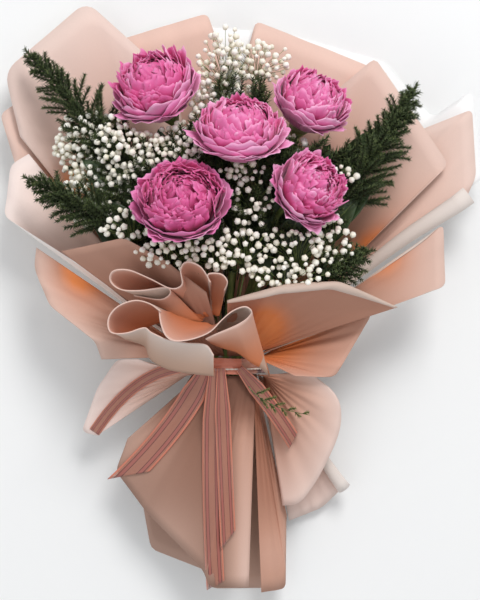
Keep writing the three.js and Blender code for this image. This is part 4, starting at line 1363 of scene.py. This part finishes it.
for seed, (name, (points, width, slant)) in enumerate(TAILS.items()):
    points = [by_neck(*p) for p in points]
    first = (points[0][0] - NECK[0]) * 0.8
    points[0] = NECK + np.array([first, -2 * MM, math.sqrt((BAND_TOP * MM) ** 2 - first ** 2)])
    blank = grid_blank(TAIL_ACROSS, TAIL_ALONG)
    flat = spots(blank)
    gap = REST_GAP + (SECOND_LAYER if name == "middle_short" else 0)
    place = tail_places(flat, points, width, slant, gap)
    place[:, 2] += RIPPLE * MM * np.sin(9 * flat[:, 1] + 3 * flat[:, 0] + seed)
    piece = lay_copies(f"ribbon_tail_{name}_cloth", blank, [place])
    finish_piece(piece, [f"ribbon_tail_{name}"], (ORGANZA,))
    apply_modifier(piece, "SOLIDIFY", thickness=RIBBON_THICK * MM, offset=0)
    length = sum(np.linalg.norm(arc_point(points, (k + 1) / 40) - arc_point(points, k / 40))
                 for k in range(40))
    print(name, "tail:", width, "by", round(length / MM), "mm")

# %% [markdown]
# The ribbon goes round the neck as one gathered band, and a thin pale cord lies on it. The band
# is the same flat grid, wrapped into a ring; the cord is two strands twisted round each other.

# %% Band and cord
BAND_RADIUS, BAND_WIDE, BAND_THICK = 40.6, 16, 0.4
CORD_RADIUS, CORD_THICK, STRAND_OUT, CORD_SHIFT = 43, 0.55, 0.45, -3
CORD_STEPS, STEPS_A_TWIST, OVERLAP = 240, 8, 1.15
blank = grid_blank(120, 12)
flat = spots(blank)
turn, v = math.pi * flat[:, 0], flat[:, 1]
radius = BAND_RADIUS + 0.5 * np.sin(3 * turn + 16 * v) + 0.35 * np.sin(25 * turn + 5 * v)
place = np.stack([NECK[0] + radius * MM * np.sin(turn),
                  NECK[1] + (v - 0.5) * BAND_WIDE * MM + 0.5 * MM * np.sin(4 * turn),
                  NECK[2] - radius * MM * np.cos(turn)], axis=1)
band = lay_copies("ribbon_band_wound", blank, [place])
apply_modifier(band, "WELD", merge_threshold=0.00002)
finish_piece(band, ["ribbon_band"], (ORGANZA,))
apply_modifier(band, "SOLIDIFY", thickness=BAND_THICK * MM, offset=0)


def on_strand(strand, k):
    """A place on one of the cord's two strands, k steps round the neck."""
    turn = 2 * math.pi * k / CORD_STEPS
    twist = 2 * math.pi * k / STEPS_A_TWIST + math.pi * strand
    r = CORD_RADIUS + STRAND_OUT * math.cos(twist)
    return np.array([NECK[0] + r * MM * math.sin(turn),
                     NECK[1] + (CORD_SHIFT + STRAND_OUT * math.sin(twist)) * MM,
                     NECK[2] - r * MM * math.cos(turn)])


starts = [on_strand(strand, k) for strand in range(2) for k in range(CORD_STEPS)]
ends = [on_strand(strand, k + OVERLAP) for strand in range(2) for k in range(CORD_STEPS)]
stick_piece("tie_cord_twisted", CORD, starts, ends, CORD_THICK, [0.5] * len(starts),
            sides=6, nodes=["tie_cord"])
print("cord segments:", len(starts))

# %% [markdown]
# ## Lights and table
# A broad soft light from the upper right and a weaker one from the left give the folds their
# shading without hard edges. The table is plain and pale.

# %% Table and lights
select_only()
bpy.ops.mesh.primitive_plane_add(size=6, location=(0, 0, -0.0005))
table = bpy.context.object
table.name = "table"
surface, _, _, _ = new_material("table_pale", 0.8)
add_grain(surface, srgb(244, 244, 243), 60, 0.01, 0.02)
table.data.materials.append(surface)
table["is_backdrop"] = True


def soft_light(name, place, size, power):
    bpy.ops.object.light_add(type="AREA", location=place)
    lamp = bpy.context.object
    lamp.name = name
    lamp.data.size, lamp.data.energy = size, power
    lamp.rotation_euler = (-Vector(place)).to_track_quat("-Z", "Y").to_euler()


soft_light("key", (0.8, 2.2, 2.6), 1.3, 66)
soft_light("fill", (-1.5, -1.0, 2.2), 2.0, 8)
world = bpy.data.worlds.new("studio")
world.use_nodes = True
world.node_tree.nodes["Background"].inputs["Color"].default_value = (0.95, 0.97, 1.0, 1)
world.node_tree.nodes["Background"].inputs["Strength"].default_value = 0.62
bpy.context.scene.world = world
bpy.context.scene.view_settings.view_transform = "Standard"

# %% [markdown]
# ## The size
# The finished model's box is printed, in metres.

# %% Sizes and finish
low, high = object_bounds()
print("visual box in metres:", [round(v, 3) for v in (high - low)])
